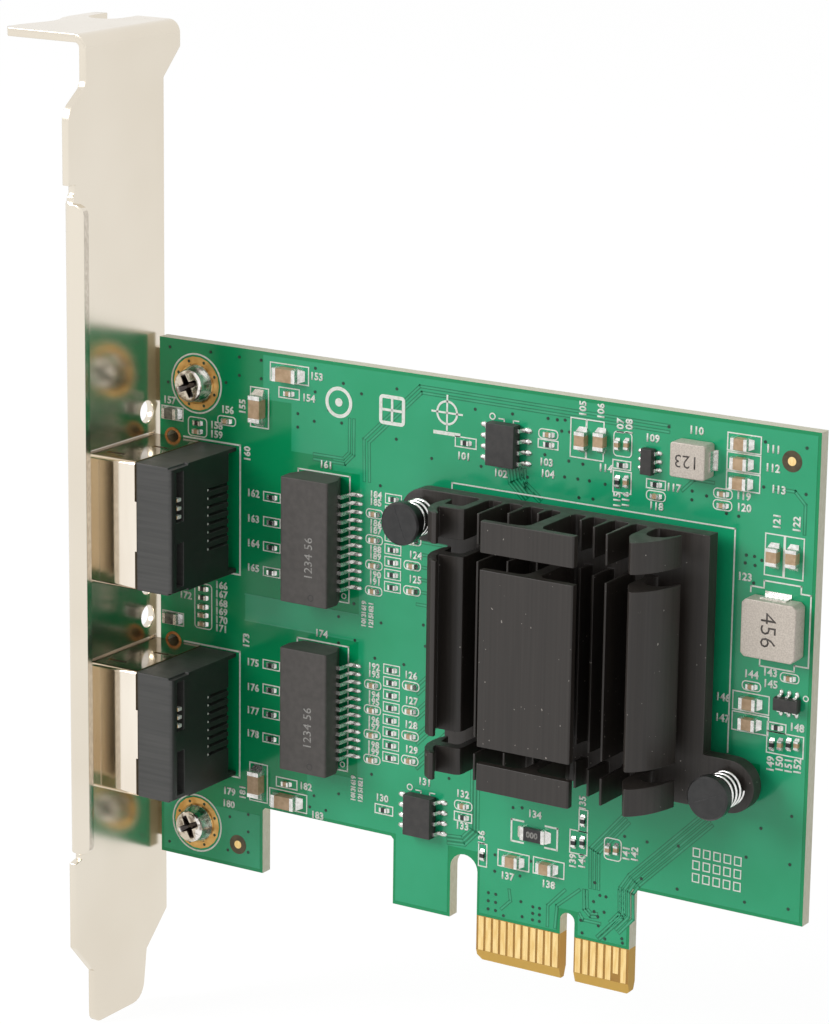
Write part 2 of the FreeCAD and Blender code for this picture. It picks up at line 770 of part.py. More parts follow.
def make_push_pin(x, z):
    # turned head, plain shaft, and a tapered barb behind the board, split in two
    under = PIN_FACE + PIN_HEAD_T
    prof = [
        V(0, PIN_FACE, 0),
        V(PIN_HEAD_R - PIN_EDGE, PIN_FACE, 0),
        V(PIN_HEAD_R, PIN_FACE + PIN_EDGE, 0),
        V(PIN_HEAD_R, under, 0),
        V(0, under, 0),
    ]
    pin = face_of(prof).revolve(V(0, 0, 0), V(0, 1, 0), 360)
    pin = pin.fuse(prism_y(0, 0, PIN_R, ROUND_SIDES, under, BACK + PIN_OUT))
    pin = pin.fuse(taper_y(PIN_R + BARB_STEP, PIN_R, ROUND_SIDES, BACK, BACK + PIN_OUT))
    reach = PIN_HEAD_R
    pin = pin.cut(box(-PIN_SPLIT, PIN_SPLIT, FRONT - SPLIT_DEEP, BACK + PIN_OUT + 1, -reach, reach))
    pin.translate(V(x, 0, z))
    return pin


def make_coil(x, z):
    # compression spring between the pin head and the heatsink ear
    y0 = PIN_FACE + PIN_HEAD_T + COIL_WIRE
    length = BASE_FRONT - COIL_WIRE - y0
    count = COIL_TURNS * COIL_STEPS
    rings = []
    for i in range(count + 1):
        a = 2 * math.pi * i / COIL_STEPS
        across = V(math.cos(a), 0, math.sin(a))
        middle = V(x, y0 + length * i / count, z) + across * COIL_R
        along = V(0, COIL_WIRE, 0)
        out = across * COIL_WIRE
        rings.append([middle + out, middle + along, middle - out, middle - along])
    faces = [face_of(rings[0]), face_of(rings[-1])]
    for near, far in zip(rings, rings[1:]):
        for k in range(4):
            n = (k + 1) % 4
            faces.append(face_of([near[k], near[n], far[n]]))
            faces.append(face_of([near[k], far[n], far[k]]))
    coil = Part.Solid(Part.makeShell(faces))
    if coil.Volume < 0:
        coil.reverse()
    return coil


def chip_body(x, z, wx, wz, low, top):
    # moulded package with draft, lying flat on the board face
    d = 0.12
    mid = FRONT - (low + top) / 2
    prof = [
        (x - wx / 2 + d, FRONT - low),
        (x + wx / 2 - d, FRONT - low),
        (x + wx / 2, mid),
        (x + wx / 2 - d, FRONT - top),
        (x - wx / 2 + d, FRONT - top),
        (x - wx / 2, mid),
    ]
    return slab_xy(prof, z - wz / 2, z + wz / 2)


def soic_leads(x, z, wx, span, y_exit):
    solids = []
    for i in range(4):
        zz = z + (i - 1.5) * 1.27
        for side in (-1, 1):
            solids.append(gull_lead(x + side * wx / 2, FRONT - y_exit,
                                    x + side * span / 2, 0.2, 0.42, zz))
    return solids


def three_lead(x, z, wx, span, y_exit, along_z):
    # short leads on two sides, three to a side
    solids = []
    for i in range(3):
        off = (i - 1) * 0.95
        for side in (-1, 1):
            lead = gull_lead(side * wx / 2, FRONT - y_exit, side * span / 2, 0.15, 0.4, 0)
            if along_z:
                lead.translate(V(x, 0, z + off))
            else:
                lead.rotate(V(0, 0, 0), V(0, 1, 0), -90)
                lead.translate(V(x + off, 0, z))
            solids.append(lead)
    return solids


def end_cap_part(x, z, length, width, height, cap, upright):
    # body and two end caps of a small surface part
    extra = 0.02
    half = length / 2
    w = width / 2
    if upright:
        body = box(x - w, x + w, FRONT, FRONT - height, z - half + cap, z + half - cap)
        caps = [
            box(x - w - extra, x + w + extra, FRONT, FRONT - height - extra,
                z - half, z - half + cap),
            box(x - w - extra, x + w + extra, FRONT, FRONT - height - extra,
                z + half - cap, z + half),
        ]
    else:
        body = box(x - half + cap, x + half - cap, FRONT, FRONT - height, z - w, z + w)
        caps = [
            box(x - half, x - half + cap, FRONT, FRONT - height - extra,
                z - w - extra, z + w + extra),
            box(x + half - cap, x + half, FRONT, FRONT - height - extra,
                z - w - extra, z + w + extra),
        ]
    return body, caps


def place_group(items, length, width, height, cap):
    bodies = []
    caps = []
    for x, z, upright in items:
        body, ends = end_cap_part(x, z, length, width, height, cap, upright)
        bodies.append(body)
        caps += ends
    return bodies, caps


# small parts: place on the board face and whether the long side stands upright
SMALL_CAPS = [
    (-38.85, 64.35, False),
    (-38.95, 16.6, False),
    (-47.7, 59.9, False),
    (-51.9, 58.1, False),
    (-51.1, 36.65, False),
    (-51.1, 35.6, False),
    (-51.1, 34.5, False),
    (-14.2, 18.55, False),
    (-3.85, 64.2, False),
    (5.0, 64.25, True),
    (6.18, 64.4, True),
    (6.22, 60.15, True),
    (9.93, 59.1, False),
    (18.2, 60.55, False),
    (18.2, 59.25, False),
    (27.1, 41.1, False),
    (22.5, 39.4, False),
    (5.2, 17.05, True),
    (6.25, 17.25, True),
    (26.35, 33.4, True),
    (28.35, 33.7, True),
]
for Z_ITEM in (51.65, 48.55, 45.5, 42.4, 31.0, 27.95, 24.9, 21.85):
    SMALL_CAPS.append((-26.85, Z_ITEM, False))
for Z_ITEM in (49.25, 46.25, 43.25, 31.75, 28.75, 25.7, 22.7):
    SMALL_CAPS.append((-21.6, Z_ITEM, False))

SMALL_RES = [
    (-51.9, 59.1, False),
    (-51.1, 38.85, False),
    (-51.1, 37.75, False),
    (-25.1, 15.95, False),
    (-14.15, 17.15, False),
    (-14.65, 61.75, False),
    (-3.85, 63.05, False),
    (5.6, 62.0, False),
    (5.1, 60.0, True),
    (9.9, 60.4, False),
    (25.8, 35.25, False),
    (25.3, 33.2, True),
    (27.35, 33.55, True),
    (1.8, 19.8, True),
    (0.65, 17.0, True),
    (1.8, 17.2, True),
    (-11.45, 13.05, True),
]
for Z_ITEM in (51.55, 48.5, 45.45, 42.4, 30.95, 27.9, 24.85, 21.8):
    SMALL_RES.append((-41.2, Z_ITEM, False))
for COUNT in range(8):
    SMALL_RES.append((-24.27, 43.25 + 1.5 * COUNT, False))
    SMALL_RES.append((-24.25, 22.55 + 1.53 * COUNT, False))

MEDIUM_CAPS = [
    (0.55, 64.2, True),
    (2.95, 64.4, True),
    (20.35, 66.5, False),
    (20.35, 64.3, False),
    (20.35, 62.1, False),
    (24.75, 54.55, True),
    (27.1, 54.7, True),
    (22.45, 37.5, False),
    (22.45, 35.15, False),
    (-7.3, 13.2, False),
    (-2.8, 13.25, False),
]

LARGE_CAPS = [
    (-38.85, 66.65, False),
    (-43.0, 62.1, True),
    (-43.0, 15.95, True),
    (-38.8, 14.5, False),
]


def main():
    os.makedirs(PARTS, exist_ok=True)
    save("circuit_board", [make_board()])
    save("edge_contacts_front", make_contacts(FRONT - CONTACT_T, FRONT))
    save("edge_contacts_back", make_contacts(BACK, BACK + CONTACT_T))
    save("bracket", [make_bracket()])
    save("bracket_screws", [make_screw(z) for z in SCREW_Z])
    pads = []
    for z in SCREW_Z:
        pads.append(ring_y(SCREW_X, z, PAD_R, SCREW_HOLE_R, ROUND_SIDES, FRONT - PAD_T, FRONT))
    save("screw_pads", pads)
    for name, zc in (("lower", JACK_Z[0]), ("upper", JACK_Z[1])):
        save("jack_shield_" + name, [make_can(zc)])
        save("jack_housing_" + name, [make_housing(zc)])
        save("jack_wires_" + name, make_jack_wires(zc))
    for name, zc in (("lower", XFMR_Z[0]), ("upper", XFMR_Z[1])):
        save("transformer_body_" + name, [make_xfmr(zc)])
        save("transformer_leads_" + name, make_xfmr_leads(zc))
    save("heatsink", [make_sink()])
    mid_z = (SINK_BOTTOM + SINK_TOP) / 2
    chip = box(SINK_X - CHIP_HALF, SINK_X + CHIP_HALF, FRONT, FRONT - CHIP_T,
               mid_z - CHIP_HALF, mid_z + CHIP_HALF)
    save("controller_chip", [chip])
    grip = CHIP_HALF - 0.5
    pad = box(SINK_X - grip, SINK_X + grip, FRONT - CHIP_T, BASE_BACK,
              mid_z - grip, mid_z + grip)
    save("thermal_pad", [pad])
    for name, (x, z) in zip(("upper", "lower"), pin_places()):
        save("push_pin_" + name, [make_push_pin(x, z)])
        save("push_pin_spring_" + name, [make_coil(x, z)])
    save("memory_chip_body", [chip_body(-9.35, 62.4, 3.9, 4.9, 0.15, 1.6)])
    save("memory_chip_leads", soic_leads(-9.35, 62.35, 3.9, 6.1, 1.0))
    save("config_chip_body", [chip_body(-19.7, 16.5, 3.9, 4.9, 0.15, 1.6)])
    save("config_chip_leads", soic_leads(-19.7, 16.5, 3.9, 6.1, 1.0))
    save("switch_chip_body", [chip_body(9.1, 63.0, 1.6, 2.9, 0.1, 1.15)])
    save("switch_chip_leads", three_lead(9.1, 63.0, 1.6, 2.8, 0.7, True))
    body = chip_body(0, 0, 1.6, 2.9, 0.1, 1.15)
    body.rotate(V(0, 0, 0), V(0, 1, 0), -90)
    body.translate(V(27.15, 0, 38.2))
    save("regulator_chip_body", [body])
    save("regulator_chip_leads", three_lead(27.15, 38.2, 1.6, 2.8, 0.7, False))
    # moulded inductors on flat end terminals
    small = slab_xz([(12.95, 62.2), (16.85, 62.2), (17.05, 62.4), (17.05, 65.9),
                     (16.85, 66.1), (12.95, 66.1), (12.75, 65.9), (12.75, 62.4)],
                    FRONT - 0.1, FRONT - 2.4)
    save("inductor_small_body", [small])
    save("inductor_small_terminals", [
        box(12.45, 13.6, FRONT, FRONT - 0.1, 63.0, 65.3),
        box(16.2, 17.5, FRONT, FRONT - 0.1, 63.0, 65.3),
        box(17.05, 17.2, FRONT - 0.1, FRONT - 1.3, 63.0, 65.3),
        box(12.6, 12.75, FRONT - 0.1, FRONT - 1.3, 63.0, 65.3),
    ])
    large = slab_xz([(22.55, 43.4), (28.25, 43.4), (28.7, 43.85), (28.7, 49.5),
                     (28.25, 49.95), (22.55, 49.95), (22.1, 49.5), (22.1, 43.85)],
                    FRONT - 0.1, FRONT - 2.4)
    save("inductor_large_body", [large])
    save("inductor_large_terminals", [
        box(23.8, 27.0, FRONT, FRONT - 0.1, 49.2, 50.5),
        box(23.8, 27.0, FRONT, FRONT - 0.1, 42.85, 44.2),
        box(23.8, 27.0, FRONT - 0.1, FRONT - 1.4, 49.95, 50.1),
        box(23.8, 27.0, FRONT - 0.1, FRONT - 1.4, 43.25, 43.4),
    ])
    bodies, caps = place_group(SMALL_CAPS, 1.0, 0.5, 0.5, 0.25)
    save("small_capacitor_bodies", bodies)
    save("small_capacitor_ends", caps)
    bodies, caps = place_group(SMALL_RES, 1.0, 0.5, 0.35, 0.25)
    save("small_resistor_bodies", bodies)
    save("small_resistor_ends", caps)
    bodies, caps = place_group(MEDIUM_CAPS, 2.0, 1.25, 1.0, 0.4)
    save("medium_capacitor_bodies", bodies)
    save("medium_capacitor_ends", caps)
    bodies, caps = place_group(LARGE_CAPS, 3.2, 1.55, 1.3, 0.5)
    save("large_capacitor_bodies", bodies)
    save("large_capacitor_ends", caps)
    bodies, caps = place_group([(-4.6, 16.9, False)], 3.2, 1.55, 0.6, 0.45)
    save("jumper_resistor_body", bodies)
    save("jumper_resistor_ends", caps)
    lights = [(x, z, False) for x, z in led_places()]
    bodies, caps = place_group(lights, 2.0, 1.25, 0.9, 0.4)
    save("status_led_bodies", bodies)
    save("status_led_ends", caps)


main()
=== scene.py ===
import math

import bmesh
import bpy
from mathutils import Matrix, Vector


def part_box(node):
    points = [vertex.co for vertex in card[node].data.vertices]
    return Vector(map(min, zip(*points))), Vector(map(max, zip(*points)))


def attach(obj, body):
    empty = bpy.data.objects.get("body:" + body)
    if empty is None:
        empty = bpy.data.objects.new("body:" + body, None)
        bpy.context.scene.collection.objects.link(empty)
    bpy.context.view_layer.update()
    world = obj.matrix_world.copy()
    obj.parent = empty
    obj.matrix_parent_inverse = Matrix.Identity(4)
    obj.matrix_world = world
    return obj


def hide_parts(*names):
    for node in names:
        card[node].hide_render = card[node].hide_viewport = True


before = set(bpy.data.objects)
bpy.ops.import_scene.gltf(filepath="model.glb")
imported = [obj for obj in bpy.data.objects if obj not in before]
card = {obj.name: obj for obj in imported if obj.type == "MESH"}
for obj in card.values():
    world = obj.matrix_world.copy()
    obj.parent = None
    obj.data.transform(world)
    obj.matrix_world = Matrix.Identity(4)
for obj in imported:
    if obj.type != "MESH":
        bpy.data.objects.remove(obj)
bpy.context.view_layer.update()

# millimetres: x along the board, heights up it, and its face measured from its middle plane
MM = 0.001
FACE = 0.8
SCREW_X = -52.05
SCREW_HEIGHTS = (9.1, 63.85)
JACK_MIDDLES = (23.95, 49.25)
WIRE_PITCH = 1.02
HOLE_RADIUS = 0.2

# how far each thin layer stands out from the board's face
COPPER_RISE = 0.025
GAP_RISE = 0.032
TRACK_RISE = 0.04
BARE_RISE = 0.045
HOLE_RISE = 0.055
INK_RISE = 0.06
GOLD_RISE = 0.07


# finishes

def finish(name, colour, roughness, metal=0.0):
    """A new finish with one even colour, and the piece's own coordinates."""
    made = bpy.data.materials.new(name)
    made.use_nodes = True
    tree = made.node_tree
    shader = tree.nodes["Principled BSDF"]
    shader.inputs["Base Color"].default_value = (*colour, 1)
    shader.inputs["Roughness"].default_value = roughness
    shader.inputs["Metallic"].default_value = metal
    coords = tree.nodes.new("ShaderNodeTexCoord")
    return made, tree, shader, coords


def work_out(tree, operation, *terms):
    """Arithmetic on numbers and other nodes' outputs."""
    made = tree.nodes.new("ShaderNodeMath")
    made.operation = operation
    for socket, term in zip(made.inputs, terms):
        if isinstance(term, float):
            socket.default_value = term
        else:
            tree.links.new(term, socket)
    return made.outputs["Value"]


def above(tree, value, limit):
    """One where the value is over the limit, else zero."""
    return work_out(tree, "GREATER_THAN", value, limit)


def part_of(tree, vector, axis):
    """One axis of a place or a direction."""
    split = tree.nodes.new("ShaderNodeSeparateXYZ")
    tree.links.new(vector, split.inputs["Vector"])
    return split.outputs[axis]


def between(tree, value, low, high, start=0.0, end=1.0):
    """Goes from low to high as the value goes from start to end."""
    made = tree.nodes.new("ShaderNodeMapRange")
    made.inputs["From Min"].default_value = start
    made.inputs["From Max"].default_value = end
    made.inputs["To Min"].default_value = low
    made.inputs["To Max"].default_value = high
    tree.links.new(value, made.inputs["Value"])
    return made.outputs["Result"]


def grain(tree, coords, scale, stretch=(1, 1, 1), detail=3.0):
    """Noise over the piece, as a value round 0.5, with scale in spots per metre."""
    place = tree.nodes.new("ShaderNodeMapping")
    place.inputs["Scale"].default_value = [scale * s for s in stretch]
    tree.links.new(coords.outputs["Object"], place.inputs["Vector"])
    noise = tree.nodes.new("ShaderNodeTexNoise")
    noise.inputs["Scale"].default_value = 1.0
    noise.inputs["Detail"].default_value = detail
    tree.links.new(place.outputs["Vector"], noise.inputs["Vector"])
    return noise.outputs["Fac"]


def tint(tree, shader, value, dark, light, start=0.35, end=0.65):
    """The value picks between two colours of the finish."""
    ramp = tree.nodes.new("ShaderNodeValToRGB")
    ramp.color_ramp.elements[0].position = start
    ramp.color_ramp.elements[0].color = (*dark, 1)
    ramp.color_ramp.elements[1].position = end
    ramp.color_ramp.elements[1].color = (*light, 1)
    tree.links.new(value, ramp.inputs["Fac"])
    tree.links.new(ramp.outputs["Color"], shader.inputs["Base Color"])
    return ramp.outputs["Color"]


def sheen_spread(tree, shader, value, smooth, rough):
    """The value moves the roughness between two levels."""
    tree.links.new(between(tree, value, smooth, rough, 0.3, 0.7), shader.inputs["Roughness"])


def relief(tree, shader, value, depth_mm, strength):
    """The value raises the surface a little."""
    bump = tree.nodes.new("ShaderNodeBump")
    bump.inputs["Distance"].default_value = depth_mm * MM
    bump.inputs["Strength"].default_value = strength
    tree.links.new(value, bump.inputs["Height"])
    tree.links.new(bump.outputs["Normal"], shader.inputs["Normal"])


def blend(tree, factor, first, second):
    """Two colours mixed by a factor; each is a colour or another node's output."""
    mix = tree.nodes.new("ShaderNodeMix")
    mix.data_type = "RGBA"
    tree.links.new(factor, mix.inputs["Factor"])
    for socket, colour in ((mix.inputs[6], first), (mix.inputs[7], second)):
        if isinstance(colour, tuple):
            socket.default_value = (*colour, 1)
        else:
            tree.links.new(colour, socket)
    return mix.outputs[2]


def mottled(name, colour, roughness, metal, spots, dark, light, detail=3.0):
    """A plain finish whose colour wanders between two tones."""
    made, tree, shader, coords = finish(name, colour, roughness, metal)
    tint(tree, shader, grain(tree, coords, spots, detail=detail), dark, light)
    return made


def solder_mask():
    """Green mask on both faces, pale laminate at the cut edges and amber laminate on the tongue."""
    made, tree, shader, coords = finish("solder_mask", (0.0, 0.2, 0.06), 0.16)
    place = coords.outputs["Object"]
    facing = work_out(tree, "ABSOLUTE", part_of(tree, coords.outputs["Normal"], "Y"))
    flat = above(tree, facing, 0.985)
    over_tongue = above(tree, part_of(tree, place, "Z"), 5.55 * MM)
    past_leg = above(tree, part_of(tree, place, "X"), -12.5 * MM)
    bare = above(tree, past_leg, over_tongue)
    green = blend(tree, grain(tree, coords, 60, detail=2), (0.0, 0.31, 0.105), (0.0, 0.355, 0.130))
    gold = blend(tree, grain(tree, coords, 900, detail=2), (0.44, 0.22, 0.04), (0.58, 0.31, 0.06))
    tan = blend(tree, grain(tree, coords, 1400, (1, 3, 1)), (0.70, 0.68, 0.48), (0.98, 0.97, 0.82))
    edge = blend(tree, bare, tan, (0.78, 0.47, 0.10))
    face = blend(tree, bare, green, gold)
    tree.links.new(blend(tree, flat, edge, face), shader.inputs["Base Color"])
    tree.links.new(between(tree, flat, 0.55, 0.14), shader.inputs["Roughness"])
    relief(tree, shader, grain(tree, coords, 1100, detail=2), 0.012, 0.25)
    shader.inputs["Specular IOR Level"].default_value = 0.4
    return made


def mask_over_copper():
    made, tree, shader, coords = finish("mask_over_copper", (0.012, 0.40, 0.175), 0.15)
    tint(tree, shader, grain(tree, coords, 90), (0.010, 0.405, 0.175), (0.022, 0.455, 0.215))
    relief(tree, shader, grain(tree, coords, 1100, detail=2), 0.012, 0.25)
    return made


def white_ink():
    made, tree, shader, coords = finish("white_ink", (0.90, 0.92, 0.84), 0.5)
    thin_spots = grain(tree, coords, 2500, detail=4)
    tint(tree, shader, thin_spots, (0.76, 0.83, 0.70), (0.95, 0.96, 0.90), 0.3, 0.5)
    relief(tree, shader, grain(tree, coords, 5000), 0.01, 0.4)
    return made


def nickel_plate():
    """Smooth plated sheet with a slight warm cast, rougher where the lip's end was sheared."""
    made, tree, shader, coords = finish("nickel_plate", (0.75, 0.68, 0.57), 0.2, 1.0)
    place = coords.outputs["Object"]
    base = tint(tree, shader, grain(tree, coords, 35), (0.735, 0.665, 0.555), (0.785, 0.72, 0.615))
    cut = above(tree, part_of(tree, coords.outputs["Normal"], "X"), 0.95)
    near = work_out(tree, "LESS_THAN", part_of(tree, place, "Y"), -15.5 * MM)
    lip_end = above(tree, part_of(tree, place, "X"), -56.4 * MM)
    sheared = work_out(tree, "MULTIPLY", work_out(tree, "MULTIPLY", cut, near), lip_end)
    torn = blend(tree, grain(tree, coords, 3200, (1, 1, 0.6), 4), (0.40, 0.35, 0.29), (0.78, 0.71, 0.61))
    tree.links.new(blend(tree, sheared, base, torn), shader.inputs["Base Color"])
    sheen_spread(tree, shader, grain(tree, coords, 160, (1, 1, 0.3), 4), 0.17, 0.23)
    return made


def screw_nickel():
    """Bright plating with a painted reflection of dark and light mottling, and painted shade darkening the
    recess.
    """
    made, tree, shader, coords = finish("screw_nickel", (0.62, 0.58, 0.53), 0.12, 1.0)
    # painted reflection: the strong dark and light mottling of the plating stands for the room mirrored in
    # the head
    painted_reflection_patches = grain(tree, coords, 1100, detail=2)
    base = tint(tree, shader, painted_reflection_patches, (0.30, 0.26, 0.22), (0.84, 0.80, 0.75), 0.38, 0.54)
    # painted shade: faces marked as recess are darkened to stand for the shade inside the cross recess
    depth = tree.nodes.new("ShaderNodeAttribute")
    depth.attribute_name = "recess"
    colour = blend(tree, depth.outputs["Fac"], base, (0.07, 0.06, 0.055))
    tree.links.new(colour, shader.inputs["Base Color"])
    sheen_spread(tree, shader, grain(tree, coords, 2500), 0.08, 0.2)
    relief(tree, shader, grain(tree, coords, 1300), 0.06, 0.5)
    return made


def can_plate():
    """Bright tinned cans, with their tops painted darker and browner as painted shade over a streaked
    grain, and brassy rear rims.
    """
    made, tree, shader, coords = finish("can_plate", (0.86, 0.78, 0.67), 0.10, 1.0)
    facing = coords.outputs["Normal"]
    drawn = grain(tree, coords, 220, (1, 1, 0.2))
    base = tint(tree, shader, drawn, (0.82, 0.735, 0.62), (0.92, 0.85, 0.74))
    # painted shade: faces pointing up get a darker, browner colour than the rest of the can
    painted_shade_top = blend(tree, grain(tree, coords, 700, (0.08, 0.5, 1)), (0.20, 0.155, 0.10), (0.52, 0.45, 0.35))
    colour = blend(tree, above(tree, part_of(tree, facing, "Z"), 0.9), base, painted_shade_top)
    brass = blend(tree, above(tree, part_of(tree, facing, "X"), 0.9), colour, (0.86, 0.62, 0.34))
    tree.links.new(brass, shader.inputs["Base Color"])
    sheen_spread(tree, shader, grain(tree, coords, 400, (1, 1, 0.1), 4), 0.07, 0.15)
    return made


def gold_plate():
    made, tree, shader, coords = finish("gold_plate", (0.95, 0.68, 0.27), 0.30, 1.0)
    tint(tree, shader, grain(tree, coords, 900, (3, 1, 0.5), 4), (0.86, 0.58, 0.22), (1.0, 0.76, 0.36))
    sheen_spread(tree, shader, grain(tree, coords, 1800, (3, 1, 0.3)), 0.24, 0.40)
    return made


def tinned():
    made, tree, shader, coords = finish("tinned", (0.84, 0.83, 0.80), 0.26, 0.8)
    tint(tree, shader, grain(tree, coords, 2200), (0.66, 0.65, 0.62), (0.92, 0.91, 0.88))
    sheen_spread(tree, shader, grain(tree, coords, 3000), 0.14, 0.34)
    relief(tree, shader, grain(tree, coords, 3500), 0.03, 0.35)
    return made


def anodised_black():
    """Black anodised extrusion, with fine die lines along its length and dust specks."""
    made, tree, shader, coords = finish("anodised_black", (0.026, 0.021, 0.018), 0.42)
    lines = grain(tree, coords, 3600, (1, 1, 0.015), 2)
    base = tint(tree, shader, lines, (0.021, 0.017, 0.014), (0.033, 0.027, 0.023), 0.3, 0.7)
    dust = above(tree, grain(tree, coords, 3000, detail=0), 0.855)
    tree.links.new(blend(tree, dust, base, (0.34, 0.31, 0.28)), shader.inputs["Base Color"])
    sheen_spread(tree, shader, grain(tree, coords, 900, (1, 1, 0.03)), 0.38, 0.48)
    relief(tree, shader, lines, 0.004, 0.4)
    return made


def moulded_black(name, dark, light, roughness):
    made, tree, shader, coords = finish(name, light, roughness)
    tint(tree, shader, grain(tree, coords, 1200, detail=5), dark, light)
    sheen_spread(tree, shader, grain(tree, coords, 300), roughness - 0.06, roughness + 0.08)
    relief(tree, shader, grain(tree, coords, 4200, detail=2), 0.012, 0.6)
    return made


def scratched_black():
    """Black moulding with fine marks across its front from handling, with its rear faces painted darker as
    painted shade.
    """
    made, tree, shader, coords = finish("jack_moulding", (0.048, 0.048, 0.047), 0.46)
    marks = grain(tree, coords, 2600, (0.04, 1, 1), 4)
    base = tint(tree, shader, marks, (0.050, 0.050, 0.048), (0.078, 0.077, 0.073), 0.3, 0.75)
    # painted shade: faces pointing to the rear (+x) are darkened
    rear = above(tree, part_of(tree, coords.outputs["Normal"], "X"), 0.9)
    tree.links.new(blend(tree, rear, base, (0.014, 0.014, 0.013)), shader.inputs["Base Color"])
    sheen_spread(tree, shader, grain(tree, coords, 300), 0.36, 0.50)
    relief(tree, shader, marks, 0.02, 0.5)
    return made


def pressed_powder():
    """Warm grey pressed body with fine light and dark grains."""
    made, tree, shader, coords = finish("pressed_powder", (0.68, 0.60, 0.52), 0.45, 0.2)
    grains = grain(tree, coords, 6500, detail=5)
    tint(tree, shader, grains, (0.58, 0.51, 0.44), (0.74, 0.665, 0.585), 0.36, 0.64)
    relief(tree, shader, grain(tree, coords, 3200, detail=4), 0.02, 0.4)
    return made


def light_lens():
    made, tree, shader, coords = finish("light_lens", (0.26, 0.25, 0.20), 0.2)
    tint(tree, shader, grain(tree, coords, 1600), (0.10, 0.095, 0.08), (0.40, 0.39, 0.32))
    shader.inputs["Transmission Weight"].default_value = 0.3
    return made


MASK = solder_mask()
COPPER = mask_over_copper()
GAP = mottled("mask_gap", (0.004, 0.235, 0.100), 0.2, 0.0, 300,
              (0.003, 0.215, 0.090), (0.008, 0.260, 0.115))
TRACK = mottled("mask_over_track", (0.03, 0.44, 0.21), 0.15, 0.0, 300,
                (0.02, 0.41, 0.19), (0.05, 0.48, 0.25))
# painted shade: the plated holes are drawn as flat dark spots standing for the shade inside the holes
HOLE_SHADE_PAINT = mottled("via_hole_painted_shade", (0.004, 0.045, 0.022), 0.3, 0.0, 2000,
              (0.002, 0.03, 0.014), (0.008, 0.07, 0.035))
LAMINATE = mottled("bare_laminate", (0.09, 0.065, 0.025), 0.35, 0.0, 900,
                   (0.05, 0.04, 0.015), (0.13, 0.095, 0.04))
INK = white_ink()
NICKEL = nickel_plate()
SCREW = screw_nickel()
CAN = can_plate()
GOLD = gold_plate()
PAD_GOLD = mottled("pad_gold", (0.72, 0.44, 0.15), 0.34, 1.0, 700,
                   (0.58, 0.33, 0.10), (0.80, 0.52, 0.20), 4)
ORANGE = mottled("orange_ring", (0.60, 0.24, 0.07), 0.3, 0.6, 1800,
                 (0.42, 0.15, 0.04), (0.70, 0.32, 0.11))
TIN = tinned()
# painted glints: the contact heads get a near-white, hardly metallic colour that stands for the light they
# catch
CONTACT_GLINT_PAINT = mottled("contact_heads_painted_glint", (0.88, 0.87, 0.83), 0.35, 0.2, 2600,
                    (0.70, 0.69, 0.65), (0.95, 0.94, 0.90))
ANODISED = anodised_black()
JACK = scratched_black()
PACKAGE = moulded_black("package_moulding", (0.030, 0.028, 0.027), (0.046, 0.043, 0.040), 0.50)
COIL_CASE = moulded_black("coil_case", (0.066, 0.059, 0.055), (0.086, 0.078, 0.072), 0.58)
PIN = moulded_black("pin_moulding", (0.012, 0.012, 0.012), (0.024, 0.023, 0.023), 0.33)
WIRE = mottled("bright_wire", (0.80, 0.79, 0.77), 0.14, 1.0, 1500,
               (0.66, 0.65, 0.63), (0.88, 0.87, 0.86))
PAD = mottled("soft_pad", (0.45, 0.46, 0.48), 0.8, 0.0, 1500,
              (0.36, 0.37, 0.40), (0.52, 0.53, 0.55))
POWDER = pressed_powder()
TAN = mottled("tan_ceramic", (0.58, 0.40, 0.24), 0.38, 0.0, 1500,
              (0.50, 0.33, 0.19), (0.64, 0.45, 0.28), 4)
GLAZE = mottled("resistor_glaze", (0.02, 0.02, 0.022), 0.3, 0.0, 2500,
                (0.012, 0.012, 0.013), (0.035, 0.034, 0.034))
LENS = light_lens()
MARKING = mottled("grey_marking", (0.075, 0.062, 0.055), 0.55, 0.0, 3000,
                  (0.05, 0.042, 0.038), (0.11, 0.095, 0.085))
PALE_MARK = mottled("pale_marking", (0.34, 0.33, 0.31), 0.6, 0.0, 3000,
                    (0.24, 0.23, 0.215), (0.42, 0.41, 0.39))

FINISHES = {
    "circuit_board": MASK,
    "edge_contacts_front": GOLD,
    "edge_contacts_back": GOLD,
    "screw_pads": PAD_GOLD,
    "bracket": NICKEL,
    "bracket_screws": SCREW,
    "jack_shield_upper": CAN,
    "jack_shield_lower": CAN,
    "jack_housing_upper": JACK,
    "jack_housing_lower": JACK,
    "jack_wires_upper": GOLD,
    "jack_wires_lower": GOLD,
    "transformer_body_upper": COIL_CASE,
    "transformer_body_lower": COIL_CASE,
    "transformer_leads_upper": TIN,
    "transformer_leads_lower": TIN,
    "heatsink": ANODISED,
    "controller_chip": PACKAGE,
    "thermal_pad": PAD,
    "push_pin_upper": PIN,
    "push_pin_lower": PIN,
    "push_pin_spring_upper": WIRE,
    "push_pin_spring_lower": WIRE,
    "memory_chip_body": PACKAGE,
    "memory_chip_leads": TIN,
    "config_chip_body": PACKAGE,
    "config_chip_leads": TIN,
    "switch_chip_body": PACKAGE,
    "switch_chip_leads": TIN,
    "regulator_chip_body": PACKAGE,
    "regulator_chip_leads": TIN,
    "inductor_small_body": POWDER,
    "inductor_small_terminals": TIN,
    "inductor_large_body": POWDER,
    "inductor_large_terminals": TIN,
    "small_capacitor_bodies": TAN,
    "small_capacitor_ends": TIN,
    "small_resistor_bodies": GLAZE,
    "small_resistor_ends": TIN,
    "medium_capacitor_bodies": TAN,
    "medium_capacitor_ends": TIN,
    "large_capacitor_bodies": TAN,
    "large_capacitor_ends": TIN,
    "jumper_resistor_body": GLAZE,
    "jumper_resistor_ends": TIN,
    "status_led_bodies": LENS,
    "status_led_ends": TIN,
}
